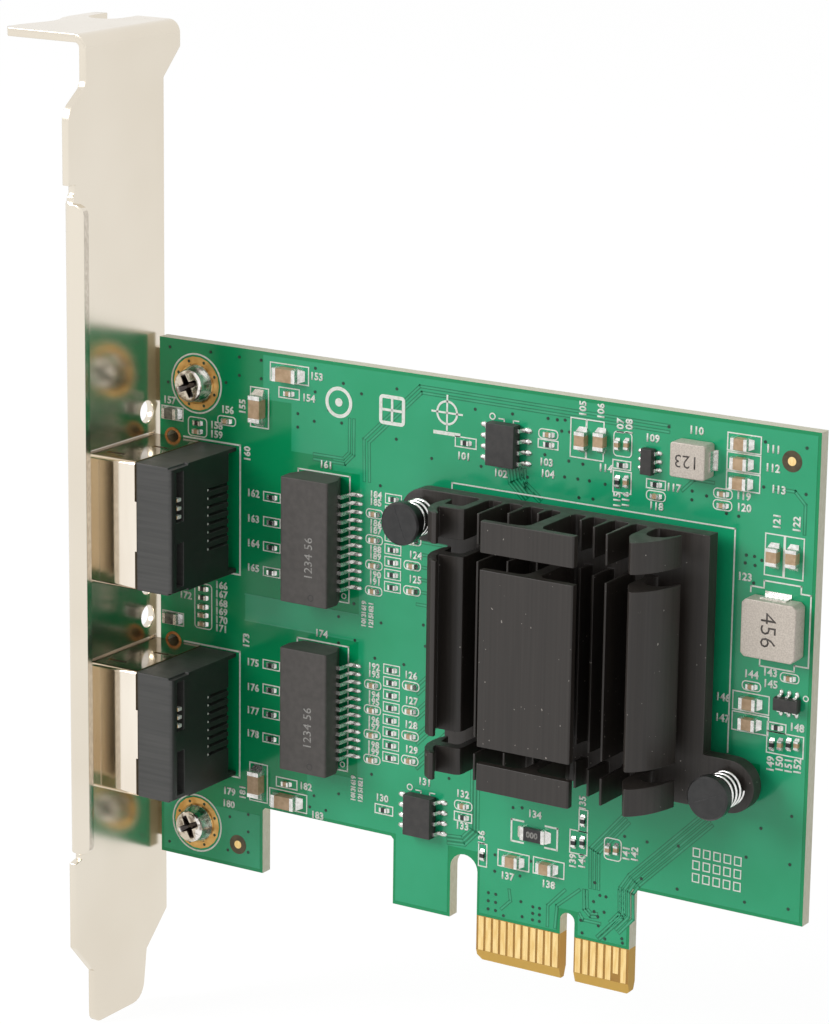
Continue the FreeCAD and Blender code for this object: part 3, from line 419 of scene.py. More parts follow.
for node_name, material in FINISHES.items():
    mesh = card[node_name].data
    mesh.materials.clear()
    mesh.materials.append(material)


def keep(name, bm, material):
    """Makes a finished mesh one piece of the card."""
    mesh = bpy.data.meshes.new(name)
    bm.to_mesh(mesh)
    bm.free()
    mesh.materials.append(material)
    made = bpy.data.objects.new(name, mesh)
    bpy.context.scene.collection.objects.link(made)
    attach(made, "root")
    return made


def soften(bm, angle=0.6):
    """Smooth shading, with a crisp line at every sharper fold."""
    for face in bm.faces:
        face.smooth = True
    for edge in bm.edges:
        if not edge.is_manifold or edge.calc_face_angle() > angle:
            edge.smooth = False


def eased(node, radius, clamp=True):
    """The same piece with its corners slightly rounded, as a die or a press leaves them."""
    bm = bmesh.new()
    bm.from_mesh(card[node].data)
    bmesh.ops.remove_doubles(bm, verts=bm.verts, dist=1e-6)
    bmesh.ops.dissolve_limit(bm, angle_limit=0.01, verts=bm.verts, edges=bm.edges)
    bm.normal_update()
    corners = [edge for edge in bm.edges if edge.is_manifold and edge.calc_face_angle() > 0.5]
    bmesh.ops.bevel(bm, geom=corners, offset=radius * MM, segments=2, profile=0.5, affect="EDGES",
                    clamp_overlap=clamp, material=-1)
    bmesh.ops.triangulate(bm, faces=[face for face in bm.faces if len(face.verts) > 4])
    soften(bm, 1.0)
    made = keep(node + "_eased", bm, FINISHES[node])
    flats = made.modifiers.new("flats", "WEIGHTED_NORMAL")
    flats.keep_sharp = True
    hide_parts(node)


eased("bracket", 0.09, clamp=False)
eased("heatsink", 0.1)
for place in ("upper", "lower"):
    eased("transformer_body_" + place, 0.15)
    eased("jack_housing_" + place, 0.1)
for chip in ("memory", "config", "switch", "regulator"):
    eased(chip + "_chip_body", 0.06)
for coil in ("small", "large"):
    eased("inductor_" + coil + "_body", 0.12)


# thin layers on the board: drawn flat in millimetres, x along the board and y up it,
# then given a thickness and stood up against the board's face

def stand_up(bm, behind=False):
    """Turns work made flat, with its height along z, up against the front or back of the board."""
    bmesh.ops.transform(bm, matrix=Matrix.Rotation(math.pi / 2, 4, "X"), verts=bm.verts)
    bmesh.ops.scale(bm, vec=(MM, -MM if behind else MM, MM), verts=bm.verts)
    bmesh.ops.recalc_face_normals(bm, faces=bm.faces)


def layer(name, bm, base, rise, material, behind=False):
    """Gives a flat drawing its thickness and stands it against the board."""
    grown = bmesh.ops.extrude_face_region(bm, geom=bm.faces[:])
    risen = [v for v in grown["geom"] if isinstance(v, bmesh.types.BMVert)]
    bmesh.ops.translate(bm, verts=risen, vec=(0, 0, rise))
    bmesh.ops.translate(bm, verts=bm.verts, vec=(0, 0, base))
    stand_up(bm, behind)
    return keep(name, bm, material)


def patch(bm, x, y, w, h, turn=0.0):
    """A filled rectangle round its middle."""
    place = Matrix.Translation((x, y, 0)) @ Matrix.Rotation(turn, 4, "Z") @ Matrix.Diagonal((w, h, 1, 1))
    return bmesh.ops.create_grid(bm, x_segments=1, y_segments=1, size=0.5, matrix=place)["verts"]


def stroke(bm, points, width):
    """A line of even width through the points."""
    for (x0, y0), (x1, y1) in zip(points, points[1:]):
        length = math.hypot(x1 - x0, y1 - y0) + width * 0.8
        patch(bm, (x0 + x1) / 2, (y0 + y1) / 2, length, width, math.atan2(y1 - y0, x1 - x0))


def framed(bm, x, y, w, h, line, corner=0.0):
    """A rectangular outline, with round corners where one is given."""
    verts = patch(bm, x, y, w, h)
    face = verts[0].link_faces[0]
    if corner:
        cut = bmesh.ops.bevel(bm, geom=verts, offset=corner, offset_type="OFFSET", segments=4,
                              profile=0.5, affect="VERTICES", material=-1)
        face = max(cut["verts"][0].link_faces, key=lambda f: f.calc_area())
    bmesh.ops.inset_region(bm, faces=[face], thickness=line, use_even_offset=True, use_boundary=True)
    bmesh.ops.delete(bm, geom=[face], context="FACES")


def ring(bm, x, y, radius, line, segments):
    """A round outline."""
    made = bmesh.ops.create_circle(bm, cap_ends=True, segments=segments, radius=radius,
                                   matrix=Matrix.Translation((x, y, 0)))
    face = made["verts"][0].link_faces[0]
    bmesh.ops.inset_region(bm, faces=[face], thickness=line, use_even_offset=True, use_boundary=True)
    bmesh.ops.delete(bm, geom=[face], context="FACES")


def spot(bm, x, y, radius, segments):
    """A filled round."""
    bmesh.ops.create_circle(bm, cap_ends=True, segments=segments, radius=radius,
                            matrix=Matrix.Translation((x, y, 0)))


def numeral(bm, words, x, y, height, turn=0.0, weight=0.042):
    """Plain printed numbers, centred on a point."""
    curve = bpy.data.curves.new("numeral", "FONT")
    curve.body = words
    curve.size = height / 0.7
    curve.align_x = "CENTER"
    curve.align_y = "CENTER"
    curve.resolution_u = 2
    curve.offset = weight
    holder = bpy.data.objects.new("numeral", curve)
    bpy.context.scene.collection.objects.link(holder)
    mesh = bpy.data.meshes.new_from_object(holder)
    mesh.transform(Matrix.Translation((x, y, 0)) @ Matrix.Rotation(math.radians(turn), 4, "Z"))
    bm.from_mesh(mesh)
    bpy.data.objects.remove(holder)
    bpy.data.curves.remove(curve)
    bpy.data.meshes.remove(mesh)


# copper under the mask, with its tracks and plated holes

# opposite corners of each copper area and of the windows left in it; the front areas follow the real
# copper, but the board round the jacks and transformers is left bare partly as painted shade, its darker
# mask standing for the shade of the bracket and jacks
POUR = [
    (-42.5, 63.2, 29.4, 68.5), (-38.5, 57.5, 29.4, 63.2), (-32.6, 56.0, 29.4, 57.5),
    (-28.9, 13.3, 29.4, 56.0), (-45.0, 35.9, -28.9, 39.2), (-36.0, 13.3, -28.9, 19.0),
    (-57.0, 5.0, -42.8, 11.8), (-23.4, 5.0, -16.2, 13.3), (-11.8, 5.9, 7.8, 13.3),
]
BACK_POUR = [
    (-44.5, 13.3, 29.4, 68.5), (-47.5, 5.0, -42.8, 13.3), (-23.4, 5.0, -16.2, 13.3),
    (-11.8, 5.9, 7.8, 13.3),
]
PIN_WINDOWS = [(-20.0, 51.6, -16.0, 55.5), (20.0, 26.7, 23.9, 30.6)]
KEY_WINDOW = (-1.4, 5.9, 1.4, 8.7)


def inside(x, y, area):
    return area[0] < x < area[2] and area[1] < y < area[3]


def sheet(bm, areas, windows):
    """One flat sheet over all the areas, left open at the windows; each is a pair of corners."""
    xs = sorted({x for area in areas + windows for x in area[::2]})
    ys = sorted({y for area in areas + windows for y in area[1::2]})
    for x0, x1 in zip(xs, xs[1:]):
        for y0, y1 in zip(ys, ys[1:]):
            x = (x0 + x1) / 2
            y = (y0 + y1) / 2
            covered = any(inside(x, y, area) for area in areas)
            if covered and not any(inside(x, y, window) for window in windows):
                patch(bm, x, y, x1 - x0, y1 - y0)
    bmesh.ops.remove_doubles(bm, verts=bm.verts, dist=0.001)


def beside(points, shift):
    """The same line moved sideways, so that it runs along with its neighbour."""
    ways = [(Vector(b) - Vector(a)).normalized() for a, b in zip(points, points[1:])]
    ways = [ways[0]] + ways + [ways[-1]]
    moved = []
    for point, coming, going in zip(points, ways, ways[1:]):
        way = (coming + going).normalized()
        reach = shift / way.dot(going)
        moved.append((point[0] - way.y * reach, point[1] + way.x * reach))
    return moved


# each bundle: its first line, how many lines run together, and how far apart
BUNDLES = [
    ([(-28.3, 55.4), (-28.4, 60.3), (-20.9, 67.5), (11.3, 67.2)], 2, -0.7),
    ([(-9.1, 59.5), (-8.8, 57.9), (-6.9, 56.1)], 5, 0.42),
    ([(-7.3, 59.7), (-7.1, 58.0), (-4.9, 56.3)], 2, 0.45),
    ([(1.5, 11.4), (-1.4, 8.9), (-1.6, 6.2)], 1, 0),
    ([(-0.4, 11.0), (-2.6, 8.7), (-2.6, 6.2)], 1, 0),
    ([(2.1, 11.5), (2.2, 9.2), (3.0, 8.5), (3.9, 8.6)], 2, 0.4),
    ([(1.6, 8.6), (2.1, 7.9), (4.3, 7.9)], 1, 0),
    ([(6.7, 12.4), (6.8, 9.3), (4.0, 6.3)], 2, 0.4),
    ([(-7.8, 9.5), (-7.6, 8.2), (-8.8, 7.0)], 1, 0),
    ([(17.1, 23.6), (7.9, 14.5), (6.8, 12.8), (6.9, 9.9), (5.6, 8.4)], 4, 0.55),
    ([(6.9, 21.4), (2.8, 16.7), (2.9, 12.0)], 3, 0.55),
    ([(-16.2, 13.6), (-13.9, 13.8), (-12.2, 15.6), (-12.2, 24.8)], 3, 0.45),
    ([(20.4, 30.6), (16.6, 26.8), (16.6, 24.6)], 2, 0.5),
    ([(24.3, 62.0), (26.9, 62.0), (28.2, 60.7), (28.2, 57.5)], 1, 0),
    ([(13.2, 60.2), (14.6, 61.6), (17.0, 61.6)], 1, 0),
    ([(-35.3, 57.0), (-31.0, 57.0), (-29.8, 58.2), (-29.8, 62.4)], 2, 0.6),
]


def tracks():
    """Each track is a bright line on a wider dark one, the gap in the copper."""
    gaps = bmesh.new()
    lines = bmesh.new()
    runs = []
    for points, count, spacing in BUNDLES:
        runs += [beside(points, number * spacing) for number in range(count)]
    # short runs from the filter parts to the chip under the heatsink
    for y in (49.25, 46.25, 43.25):
        runs += [[(-20.9, y), (-15.2, y)], [(-20.9, y - 1.5), (-15.2, y - 1.5)]]
    for y in (31.75, 28.75, 25.7, 22.7):
        runs += [[(-20.9, y), (-19.0, y + 1.9), (-15.2, y + 5.7)],
                 [(-20.6, y - 0.8), (-18.9, y + 0.9), (-15.2, y + 4.6)]]
    for points in runs:
        stroke(gaps, points, 0.44)
        stroke(lines, points, 0.2)
    # painted highlights: bright lines along the rims of the wide band between the transformers, standing
    # for light caught by the copper's edges
    for y in (39.15, 35.95):
        stroke(lines, [(-45.0, y), (-29.0, y)], 0.2)
    layer("track_gaps", gaps, FACE, GAP_RISE, GAP)
    layer("track_lines", lines, FACE, TRACK_RISE, TRACK)


# the middles of the plated holes
HOLES = [
    (-8.5, 6.2), (-6.2, 8.4), (-6.0, 6.6), (4.2, 11.3), (5.0, 11.3), (3.4, 10.4), (3.5, 9.2),
    (4.8, 9.4), (4.0, 8.7), (1.8, 7.8), (4.1, 7.6), (2.0, 6.3), (5.0, 6.2), (7.2, 6.7), (7.3, 6.2),
    (-28.8, 65.6), (-24.0, 66.8), (-24.0, 60.9), (-19.2, 59.3), (-13.5, 65.8), (-8.6, 65.9),
    (-12.6, 59.3), (-4.3, 61.8), (-4.0, 66.0), (-2.8, 66.0), (-1.8, 66.1), (-2.2, 64.8),
    (-1.2, 64.8), (0.6, 61.4), (-1.2, 61.5), (-1.7, 59.6), (0.0, 59.6), (1.5, 59.6), (3.5, 59.5),
    (0.2, 57.5), (2.0, 57.6), (-6.5, 58.9), (11.3, 67.1), (14.4, 60.3), (14.4, 59.3), (16.2, 60.0),
    (23.1, 67.0), (23.1, 62.0), (28.1, 67.0), (28.2, 61.9), (20.2, 58.3), (18.7, 58.4),
    (-26.1, 55.1), (-25.8, 38.7), (-20.0, 39.4), (21.3, 54.1), (22.3, 54.1), (21.2, 53.2),
    (22.4, 53.1), (22.3, 51.1), (23.2, 53.8), (-19.7, 36.9), (-26.6, 34.3), (-22.6, 34.2),
    (-26.9, 20.0), (-16.2, 21.5), (-7.5, 19.6), (-6.3, 19.8), (-9.8, 13.4), (-9.8, 11.4),
    (-6.4, 11.5), (-5.0, 13.6), (10.1, 18.9), (14.1, 19.2), (24.3, 23.3), (28.0, 25.4),
    (28.0, 19.8), (22.6, 19.6), (22.6, 14.3), (28.0, 14.6), (9.5, 14.4), (14.1, 14.1), (7.2, 19.0),
    (3.5, 12.7), (-55.9, 67.8), (-50.0, 67.9), (-45.9, 67.8), (-42.8, 67.8), (-35.2, 67.8),
    (-45.9, 65.6), (-42.8, 65.6), (-56.2, 63.5), (-47.8, 64.5), (-35.2, 65.0), (-35.3, 61.5),
    (-37.6, 62.1), (-37.6, 60.5), (-31.3, 66.5), (-33.3, 63.1), (-31.5, 61.8), (-29.6, 40.4),
    (-31.7, 38.5), (-29.4, 36.0), (-31.7, 35.3), (-47.2, 10.8), (-44.5, 11.6), (-44.5, 9.4),
    (-44.5, 6.8), (-47.5, 6.5), (-56.2, 5.9), (-35.0, 15.8), (-31.5, 16.7), (-35.6, 14.3),
    (-33.3, 14.3),
]


def plated_holes(name, behind):
    bm = bmesh.new()
    for x, y in HOLES:
        spot(bm, x, y, HOLE_RADIUS, 8)
    # two close groups over the edge contacts
    for columns, rows in (((-10.6, -9.6), (8.6, 7.6, 6.6)), ((-4.6, -3.7), (8.1, 7.3, 6.5))):
        for x in columns:
            for y in rows:
                spot(bm, x, y, HOLE_RADIUS, 8)
    # small holes round the screw pads
    for middle in SCREW_HEIGHTS:
        for number in range(8):
            turn = math.radians(22.5 + 45 * number)
            x = SCREW_X + 2.8 * math.cos(turn)
            spot(bm, x, middle + 2.8 * math.sin(turn), HOLE_RADIUS, 8)
    layer(name, bm, FACE, HOLE_RISE, HOLE_SHADE_PAINT, behind=behind)


def copper():
    for name, areas, behind in (("copper_front", POUR, False), ("copper_back", BACK_POUR, True)):
        bm = bmesh.new()
        sheet(bm, areas, PIN_WINDOWS + [KEY_WINDOW])
        layer(name, bm, FACE, COPPER_RISE, COPPER, behind=behind)


copper()
tracks()
plated_holes("plated_holes", False)
plated_holes("plated_holes_back", True)


# white print

# the middle and turn of each part number, in counting order
LABELS = [
    (-14.9, 60.1, 0), (-10.0, 58.8, 0), (-4.1, 60.9, 0), (-3.9, 59.6, 0), (0.5, 67.7, 90),
    (2.8, 67.7, 90), (5.3, 66.3, 90), (6.4, 66.4, 90), (9.3, 65.5, 0), (14.7, 67.1, 0),
    (24.1, 66.3, 0), (24.1, 64.2, 0), (24.9, 61.9, 0), (3.5, 61.3, 0), (5.1, 57.9, 90),
    (6.2, 58.1, 90), (12.1, 60.3, 0), (10.0, 57.9, 0), (20.7, 60.6, 0), (20.8, 59.3, 0),
    (24.9, 58.4, 90), (27.3, 58.4, 90), (21.2, 51.6, 0), (-21.2, 47.5, 0), (-21.2, 44.6, 0),
    (-21.6, 33.0, 0), (-21.5, 29.95, 0), (-21.5, 27.0, 0), (-21.4, 24.0, 0), (-25.4, 17.3, 0),
    (-19.5, 20.4, 0), (-14.3, 19.9, 0), (-14.3, 16.0, 0), (-4.6, 19.3, 0), (1.7, 21.9, 90),
    (-11.6, 15.1, 90), (-8.1, 11.1, 0), (-2.6, 11.2, 0), (0.6, 14.7, 90), (1.8, 14.9, 90),
    (7.5, 17.0, 90), (8.6, 17.1, 90), (24.7, 41.3, 0), (22.4, 40.7, 0), (24.8, 40.0, 0),
    (19.0, 37.5, 0), (19.0, 35.1, 0), (28.2, 35.6, 0), (25.2, 30.9, 90), (26.3, 31.1, 90),
    (27.4, 31.1, 90), (28.5, 31.2, 90), (-35.0, 66.8, 0), (-36.1, 64.1, 0), (-45.4, 61.9, 90),
    (-47.6, 61.2, 0), (-56.0, 61.3, 0), (-49.2, 59.1, 0), (-49.2, 58.0, 0), (-44.7, 56.3, 90),
    (-33.6, 56.5, 0), (-43.9, 51.6, 0), (-43.9, 48.5, 0), (-43.9, 45.5, 0), (-43.9, 42.5, 0),
    (-48.5, 39.6, 0), (-48.5, 38.5, 0), (-48.5, 37.4, 0), (-48.5, 36.35, 0), (-48.5, 35.3, 0),
    (-48.5, 34.25, 0), (-53.7, 37.6, 0), (-44.8, 33.4, 90), (-34.1, 36.0, 0), (-43.9, 30.8, 0),
    (-43.9, 27.7, 0), (-43.9, 24.8, 0), (-43.9, 21.9, 0), (-47.3, 14.0, 0), (-47.4, 12.4, 0),
    (-45.3, 14.3, 90), (-36.2, 16.7, 0), (-34.5, 13.4, 0),
]

# the middle, width and height of each printed frame, square and with rounded corners
FRAMES = [
    (-38.8, 66.7, 5.5, 2.3), (-38.7, 14.5, 5.5, 2.4), (-43.0, 62.1, 2.7, 4.9),
    (-43.0, 15.95, 2.7, 4.9), (-38.83, 64.36, 3.0, 1.35), (-38.93, 16.62, 3.1, 1.3),
    (-14.67, 61.76, 2.9, 1.3), (-25.1, 15.95, 2.6, 1.25), (-0.05, 64.3, 2.1, 4.6),
    (2.1, 64.3, 2.3, 4.6), (20.6, 66.5, 4.2, 2.1), (20.6, 64.35, 4.2, 2.1), (20.6, 62.2, 4.2, 2.1),
    (24.7, 54.6, 2.4, 4.8), (27.1, 54.6, 2.4, 4.8), (22.5, 37.5, 4.6, 2.25),
    (22.5, 35.15, 4.6, 2.25), (-7.3, 13.2, 4.3, 2.1), (-2.6, 13.25, 4.2, 2.1),
    (-55.55, 59.8, 3.2, 1.7), (-55.55, 34.45, 3.2, 1.7), (-3.9, 63.05, 2.7, 1.1),
    (5.55, 62.0, 2.4, 1.1), (5.65, 60.05, 2.4, 2.6), (9.9, 60.4, 2.5, 1.15),
    (-11.45, 13.05, 1.25, 2.9), (1.81, 19.8, 1.25, 2.8), (1.25, 17.1, 2.4, 2.9),
    (-14.2, 17.15, 2.5, 1.2), (25.75, 35.2, 2.4, 1.2), (26.85, 33.45, 4.6, 2.6),
]
ROUND_FRAMES = [
    (-47.7, 59.9, 2.7, 1.2), (-51.9, 58.6, 2.8, 2.4), (-51.1, 36.65, 2.6, 5.7),
    (-3.9, 64.2, 2.6, 1.2), (5.6, 64.35, 2.4, 2.9), (9.93, 59.1, 2.5, 1.2), (18.2, 60.55, 2.4, 1.2),
    (18.2, 59.25, 2.4, 1.2), (27.1, 41.1, 2.4, 1.15), (22.5, 39.4, 2.4, 1.15),
    (5.72, 17.15, 2.3, 2.7), (-14.2, 18.55, 2.5, 1.2),
]


def part_numbers(bm):
    """A plain running number beside every part."""
    for count, (x, y, turn) in enumerate(LABELS):
        numeral(bm, str(101 + count), x, y, 0.86, turn)
    number = 101 + len(LABELS)
    for top in (53.0, 32.3):
        for y in (0.9, 0, -2.5, -3.35, -5.6, -6.45, -8.65, -9.5):
            numeral(bm, str(number), -26.7, top + y, 0.8)
            number += 1


def part_frames(bm):
    """Closed frames round the small parts."""
    for x, y, w, h in FRAMES:
        framed(bm, x, y, w, h, 0.14)
    for y in (51.55, 48.5, 45.45, 42.4, 30.95, 27.9, 24.85, 21.8):
        framed(bm, -41.2, y, 2.5, 1.2, 0.13)
    for step in range(8):
        framed(bm, -24.27, 43.25 + 1.5 * step, 2.3, 1.25, 0.12)
        framed(bm, -24.25, 22.55 + 1.53 * step, 2.3, 1.25, 0.12)
    for y in (51.65, 48.55, 45.5, 42.4, 31.0, 27.95, 24.9, 21.85):
        framed(bm, -26.85, y, 2.4, 1.15, 0.13, 0.5)
    for y in (49.25, 46.25, 43.25, 31.75, 28.75, 25.7, 22.7):
        framed(bm, -21.6, y, 2.4, 1.15, 0.13, 0.5)
    for x, y, w, h in ROUND_FRAMES:
        framed(bm, x, y, w, h, 0.13, 0.5)


def part_outlines(bm):
    """Lines round the large parts, and the small marks that show which way round they go."""
    # transformer frames, open where the leads cross
    for bottom, top in ((40.37, 55.57), (19.72, 35.03)):
        stroke(bm, [(-37.5, top - 0.9), (-37.5, top), (-30.28, top),
                    (-30.28, bottom), (-31.6, bottom)], 0.16)
        ring(bm, -31.0, bottom + 0.75, 0.36, 0.12, 14)
    # jack frames
    for bottom, top in ((41.37, 57.19), (16.03, 31.85)):
        stroke(bm, [(-53.9, top), (-45.75, top), (-45.75, bottom), (-47.2, bottom)], 0.2)
    # large inductor frame
    stroke(bm, [(22.0, 50.1), (22.0, 50.76), (23.6, 50.76), (23.6, 51.6), (28.1, 51.6), (28.1, 50.76),
                (29.3, 50.76), (29.3, 42.6), (27.6, 42.6), (27.6, 41.9), (23.4, 41.9), (23.4, 42.6)], 0.17)
    # two sides of the heatsink's frame
    stroke(bm, [(-16.4, 56.0), (-16.4, 56.85), (19.85, 56.85), (19.85, 31.3)], 0.17)
    # bracket-shaped marks round the jumper
    for side in (-1, 1):
        x = -4.6 + side * 3.05
        stroke(bm, [(x - side * 1.6, 18.2), (x, 18.2), (x, 15.6), (x - side * 1.6, 15.6)], 0.22)
    # chip corners and first-lead rings
    ring(bm, -11.2, 65.3, 0.42, 0.14, 14)
    ring(bm, -21.55, 19.45, 0.42, 0.14, 14)
    ring(bm, 29.15, 39.1, 0.36, 0.13, 14)
    for cx, cy in ((-9.35, 62.4), (-19.7, 16.5)):
        stroke(bm, [(cx - 1.0, cy + 2.75), (cx - 0.3, cy + 2.75), (cx - 0.3, cy + 2.5)], 0.14)
        stroke(bm, [(cx + 0.9, cy + 2.5), (cx + 0.9, cy + 2.75), (cx + 1.6, cy + 2.75)], 0.14)
    # rings round the fixing screws
    for y in SCREW_HEIGHTS:
        ring(bm, SCREW_X, y, 3.66, 0.2, 40)
    # small columns of numbers beside the filter parts
    for x, y in ((-28.15, 38.23), (-29.4, 16.63)):
        for column in range(2):
            for row in range(4):
                numeral(bm, str(10 + row * 3 + column * 2), x + column, y + row * 0.78, 0.62, 90)


def placing_marks(bm):
    """A plain ring, square and cross, and an inspection grid at the bottom right."""
    ring(bm, -31.9, 64.2, 1.85, 0.42, 36)
    spot(bm, -31.9, 64.2, 0.5, 20)
    framed(bm, -24.6, 64.2, 3.5, 3.5, 0.42, 0.5)
    stroke(bm, [(-24.6, 62.9), (-24.6, 65.5)], 0.3)
    stroke(bm, [(-25.9, 64.2), (-23.3, 64.2)], 0.3)
    ring(bm, -17.2, 64.9, 1.45, 0.25, 28)
    stroke(bm, [(-17.2, 62.9), (-17.2, 66.9)], 0.22)
    stroke(bm, [(-19.2, 64.9), (-15.2, 64.9)], 0.22)
    patch(bm, -17.2, 62.5, 3.6, 0.42)
    for column in range(5):
        for row in range(3):
            framed(bm, 16.4 + column * 1.3, 15.9 + row * 1.5, 0.95, 1.1, 0.14)


def print_ink():
    bm = bmesh.new()
    part_numbers(bm)
    part_frames(bm)
    part_outlines(bm)
    placing_marks(bm)
    layer("white_print", bm, FACE, INK_RISE, INK)


print_ink()


# gold targets set in bare rings

def targets():
    rings = bmesh.new()
    spots = bmesh.new()
    for x, y in ((-46.0, 7.5), (26.4, 65.3)):
        spot(rings, x, y, 1.2, 28)
        spot(spots, x, y, 0.5, 20)
    layer("target_rings", rings, FACE, BARE_RISE, LAMINATE)
    layer("target_spots", spots, FACE, GOLD_RISE, GOLD)


targets()


# orange plated rings where the jack cans' tabs pass through the board

def plated_rings():
    bm = bmesh.new()
    for y in (56.9, 41.6, 31.6, 16.3):
        ring(bm, -55.5, y, 1.18, 0.32, 24)
    layer("plated_rings", bm, FACE, GOLD_RISE, ORANGE)


plated_rings()


# solder: a wedge at every end cap, a bead at every lead and a cone behind every tail

def islands(node_name):
    """Low and high corner of each separate solid in a node."""
    bm = bmesh.new()
    bm.from_mesh(card[node_name].data)
    bmesh.ops.remove_doubles(bm, verts=bm.verts, dist=1e-6)
    boxes = []
    seen = set()
    for vert in bm.verts:
        if vert in seen:
            continue
        group = []
        queue = [vert]
        seen.add(vert)
        while queue:
            here = queue.pop()
            group.append(here.co)
            for edge in here.link_edges:
                there = edge.other_vert(here)
                if there not in seen:
                    seen.add(there)
                    queue.append(there)
        low = Vector([min(p[i] for p in group) for i in range(3)]) / MM
        high = Vector([max(p[i] for p in group) for i in range(3)]) / MM
        boxes.append((low, high))
    bm.free()
    return boxes


def solder_wedges(bm, bodies, ends, reach, rise):
    """A sloped fillet against the outer side of each end cap."""
    middles = [(low + high) / 2 for low, high in islands(bodies)]
    for low, high in islands(ends):
        centre = (low + high) / 2
        body = min(middles, key=lambda p: (p - centre).length)
        along_x = abs(centre.x - body.x) > abs(centre.z - body.z)
        side = math.copysign(1, centre.x - body.x if along_x else centre.z - body.z)
        width = (high.z - low.z if along_x else high.x - low.x) + 0.1
        edge = (high if side > 0 else low)[0 if along_x else 2]
        made = bmesh.ops.create_cube(bm, size=1.0)["verts"]
        for vert in made:
            outer = vert.co.x > 0
            upper = vert.co.z > 0
            across = vert.co.y * width * (0.72 if outer else 1.0)
            along = reach if outer else -0.02
            lift = 0.04 if upper and outer else (rise if upper else 0.0)
            x = edge + side * along if along_x else centre.x + across
            z = centre.z + across if along_x else edge + side * along
            vert.co = Vector((x, z, FACE + lift))


def solder_joints():
    bm = bmesh.new()
    solder_wedges(bm, "small_capacitor_bodies", "small_capacitor_ends", 0.25, 0.3)
    solder_wedges(bm, "small_resistor_bodies", "small_resistor_ends", 0.25, 0.22)
    solder_wedges(bm, "medium_capacitor_bodies", "medium_capacitor_ends", 0.45, 0.5)
    solder_wedges(bm, "large_capacitor_bodies", "large_capacitor_ends", 0.6, 0.7)
    solder_wedges(bm, "jumper_resistor_body", "jumper_resistor_ends", 0.6, 0.36)
    solder_wedges(bm, "status_led_bodies", "status_led_ends", 0.4, 0.4)
    stand_up(bm)
    keep("solder_joints", bm, TIN)


solder_joints()


def lead_solder():
    """A rounded bead of solder at the toe of every formed lead."""
    bm = bmesh.new()
    for leads, bodies, long_side, short_side in (
        ("transformer_leads_upper", "transformer_body_upper", 0.62, 0.26),
        ("transformer_leads_lower", "transformer_body_lower", 0.62, 0.26),
        ("memory_chip_leads", "memory_chip_body", 0.62, 0.36),
        ("config_chip_leads", "config_chip_body", 0.62, 0.36),
        ("switch_chip_leads", "switch_chip_body", 0.42, 0.3),
        ("regulator_chip_leads", "regulator_chip_body", 0.42, 0.3),
    ):
        body_low, body_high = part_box(bodies)
        body = (body_low + body_high) / 2 / MM
        for low, high in islands(leads):
            centre = (low + high) / 2
            along_x = (high.x - low.x) > (high.z - low.z)
            if along_x:
                side = math.copysign(1, centre.x - body.x)
                toe = high.x if side > 0 else low.x
                x, z, w, h = toe - side * 0.25, centre.z, long_side, short_side
            else:
                side = math.copysign(1, centre.z - body.z)
                toe = high.z if side > 0 else low.z
                x, z, w, h = centre.x, toe - side * 0.25, short_side, long_side
            place = Matrix.Translation((x, z, FACE + 0.03)) @ Matrix.Diagonal((w, h, 0.3, 1))
            bmesh.ops.create_uvsphere(bm, u_segments=10, v_segments=6, radius=1.0, matrix=place)
    stand_up(bm)
    soften(bm, 3)
    keep("lead_solder", bm, TIN)


lead_solder()


def tail_joints():
    """Solder cones behind the board, where the jacks' contact tails and can tabs come through."""
    bm = bmesh.new()
    places = []
    for middle in JACK_MIDDLES:
        for number in range(8):
            row = -47.2 if number % 2 else -49.7
            places.append((row, middle + (number - 3.5) * WIRE_PITCH, 0.62, 0.9))
        for side in (-1, 1):
            places.append((-55.5, middle + side * 7.62, 1.15, 0.55))
    for x, y, radius, height in places:
        place = Matrix.Translation((x, y, FACE + height / 2))
        cone = bmesh.ops.create_cone(bm, cap_ends=True, segments=14, radius1=radius, radius2=radius * 0.3,
                                     depth=height, matrix=place)["verts"]
        tip = [v for v in cone if v.co.z > FACE + height / 2]
        rim = {edge for v in tip for edge in v.link_edges if edge.other_vert(v) in tip}
        bmesh.ops.bevel(bm, geom=list(rim), offset=radius * 0.15, segments=2, profile=0.5,
                        affect="EDGES", material=-1)
    stand_up(bm, True)
    soften(bm, 1.3)
    keep("tail_joints", bm, TIN)


tail_joints()


# turned and wound parts

def turned(bm, profile, steps):
    """Spins a line of (radius, height) points round the z axis."""
    verts = [bm.verts.new((radius, 0, height)) for radius, height in profile]
    edges = [bm.edges.new(pair) for pair in zip(verts, verts[1:])]
    bmesh.ops.spin(bm, geom=verts + edges, cent=(0, 0, 0), axis=(0, 0, 1), angle=math.tau,
                   steps=steps, use_merge=True)
    bmesh.ops.remove_doubles(bm, verts=bm.verts, dist=0.001)


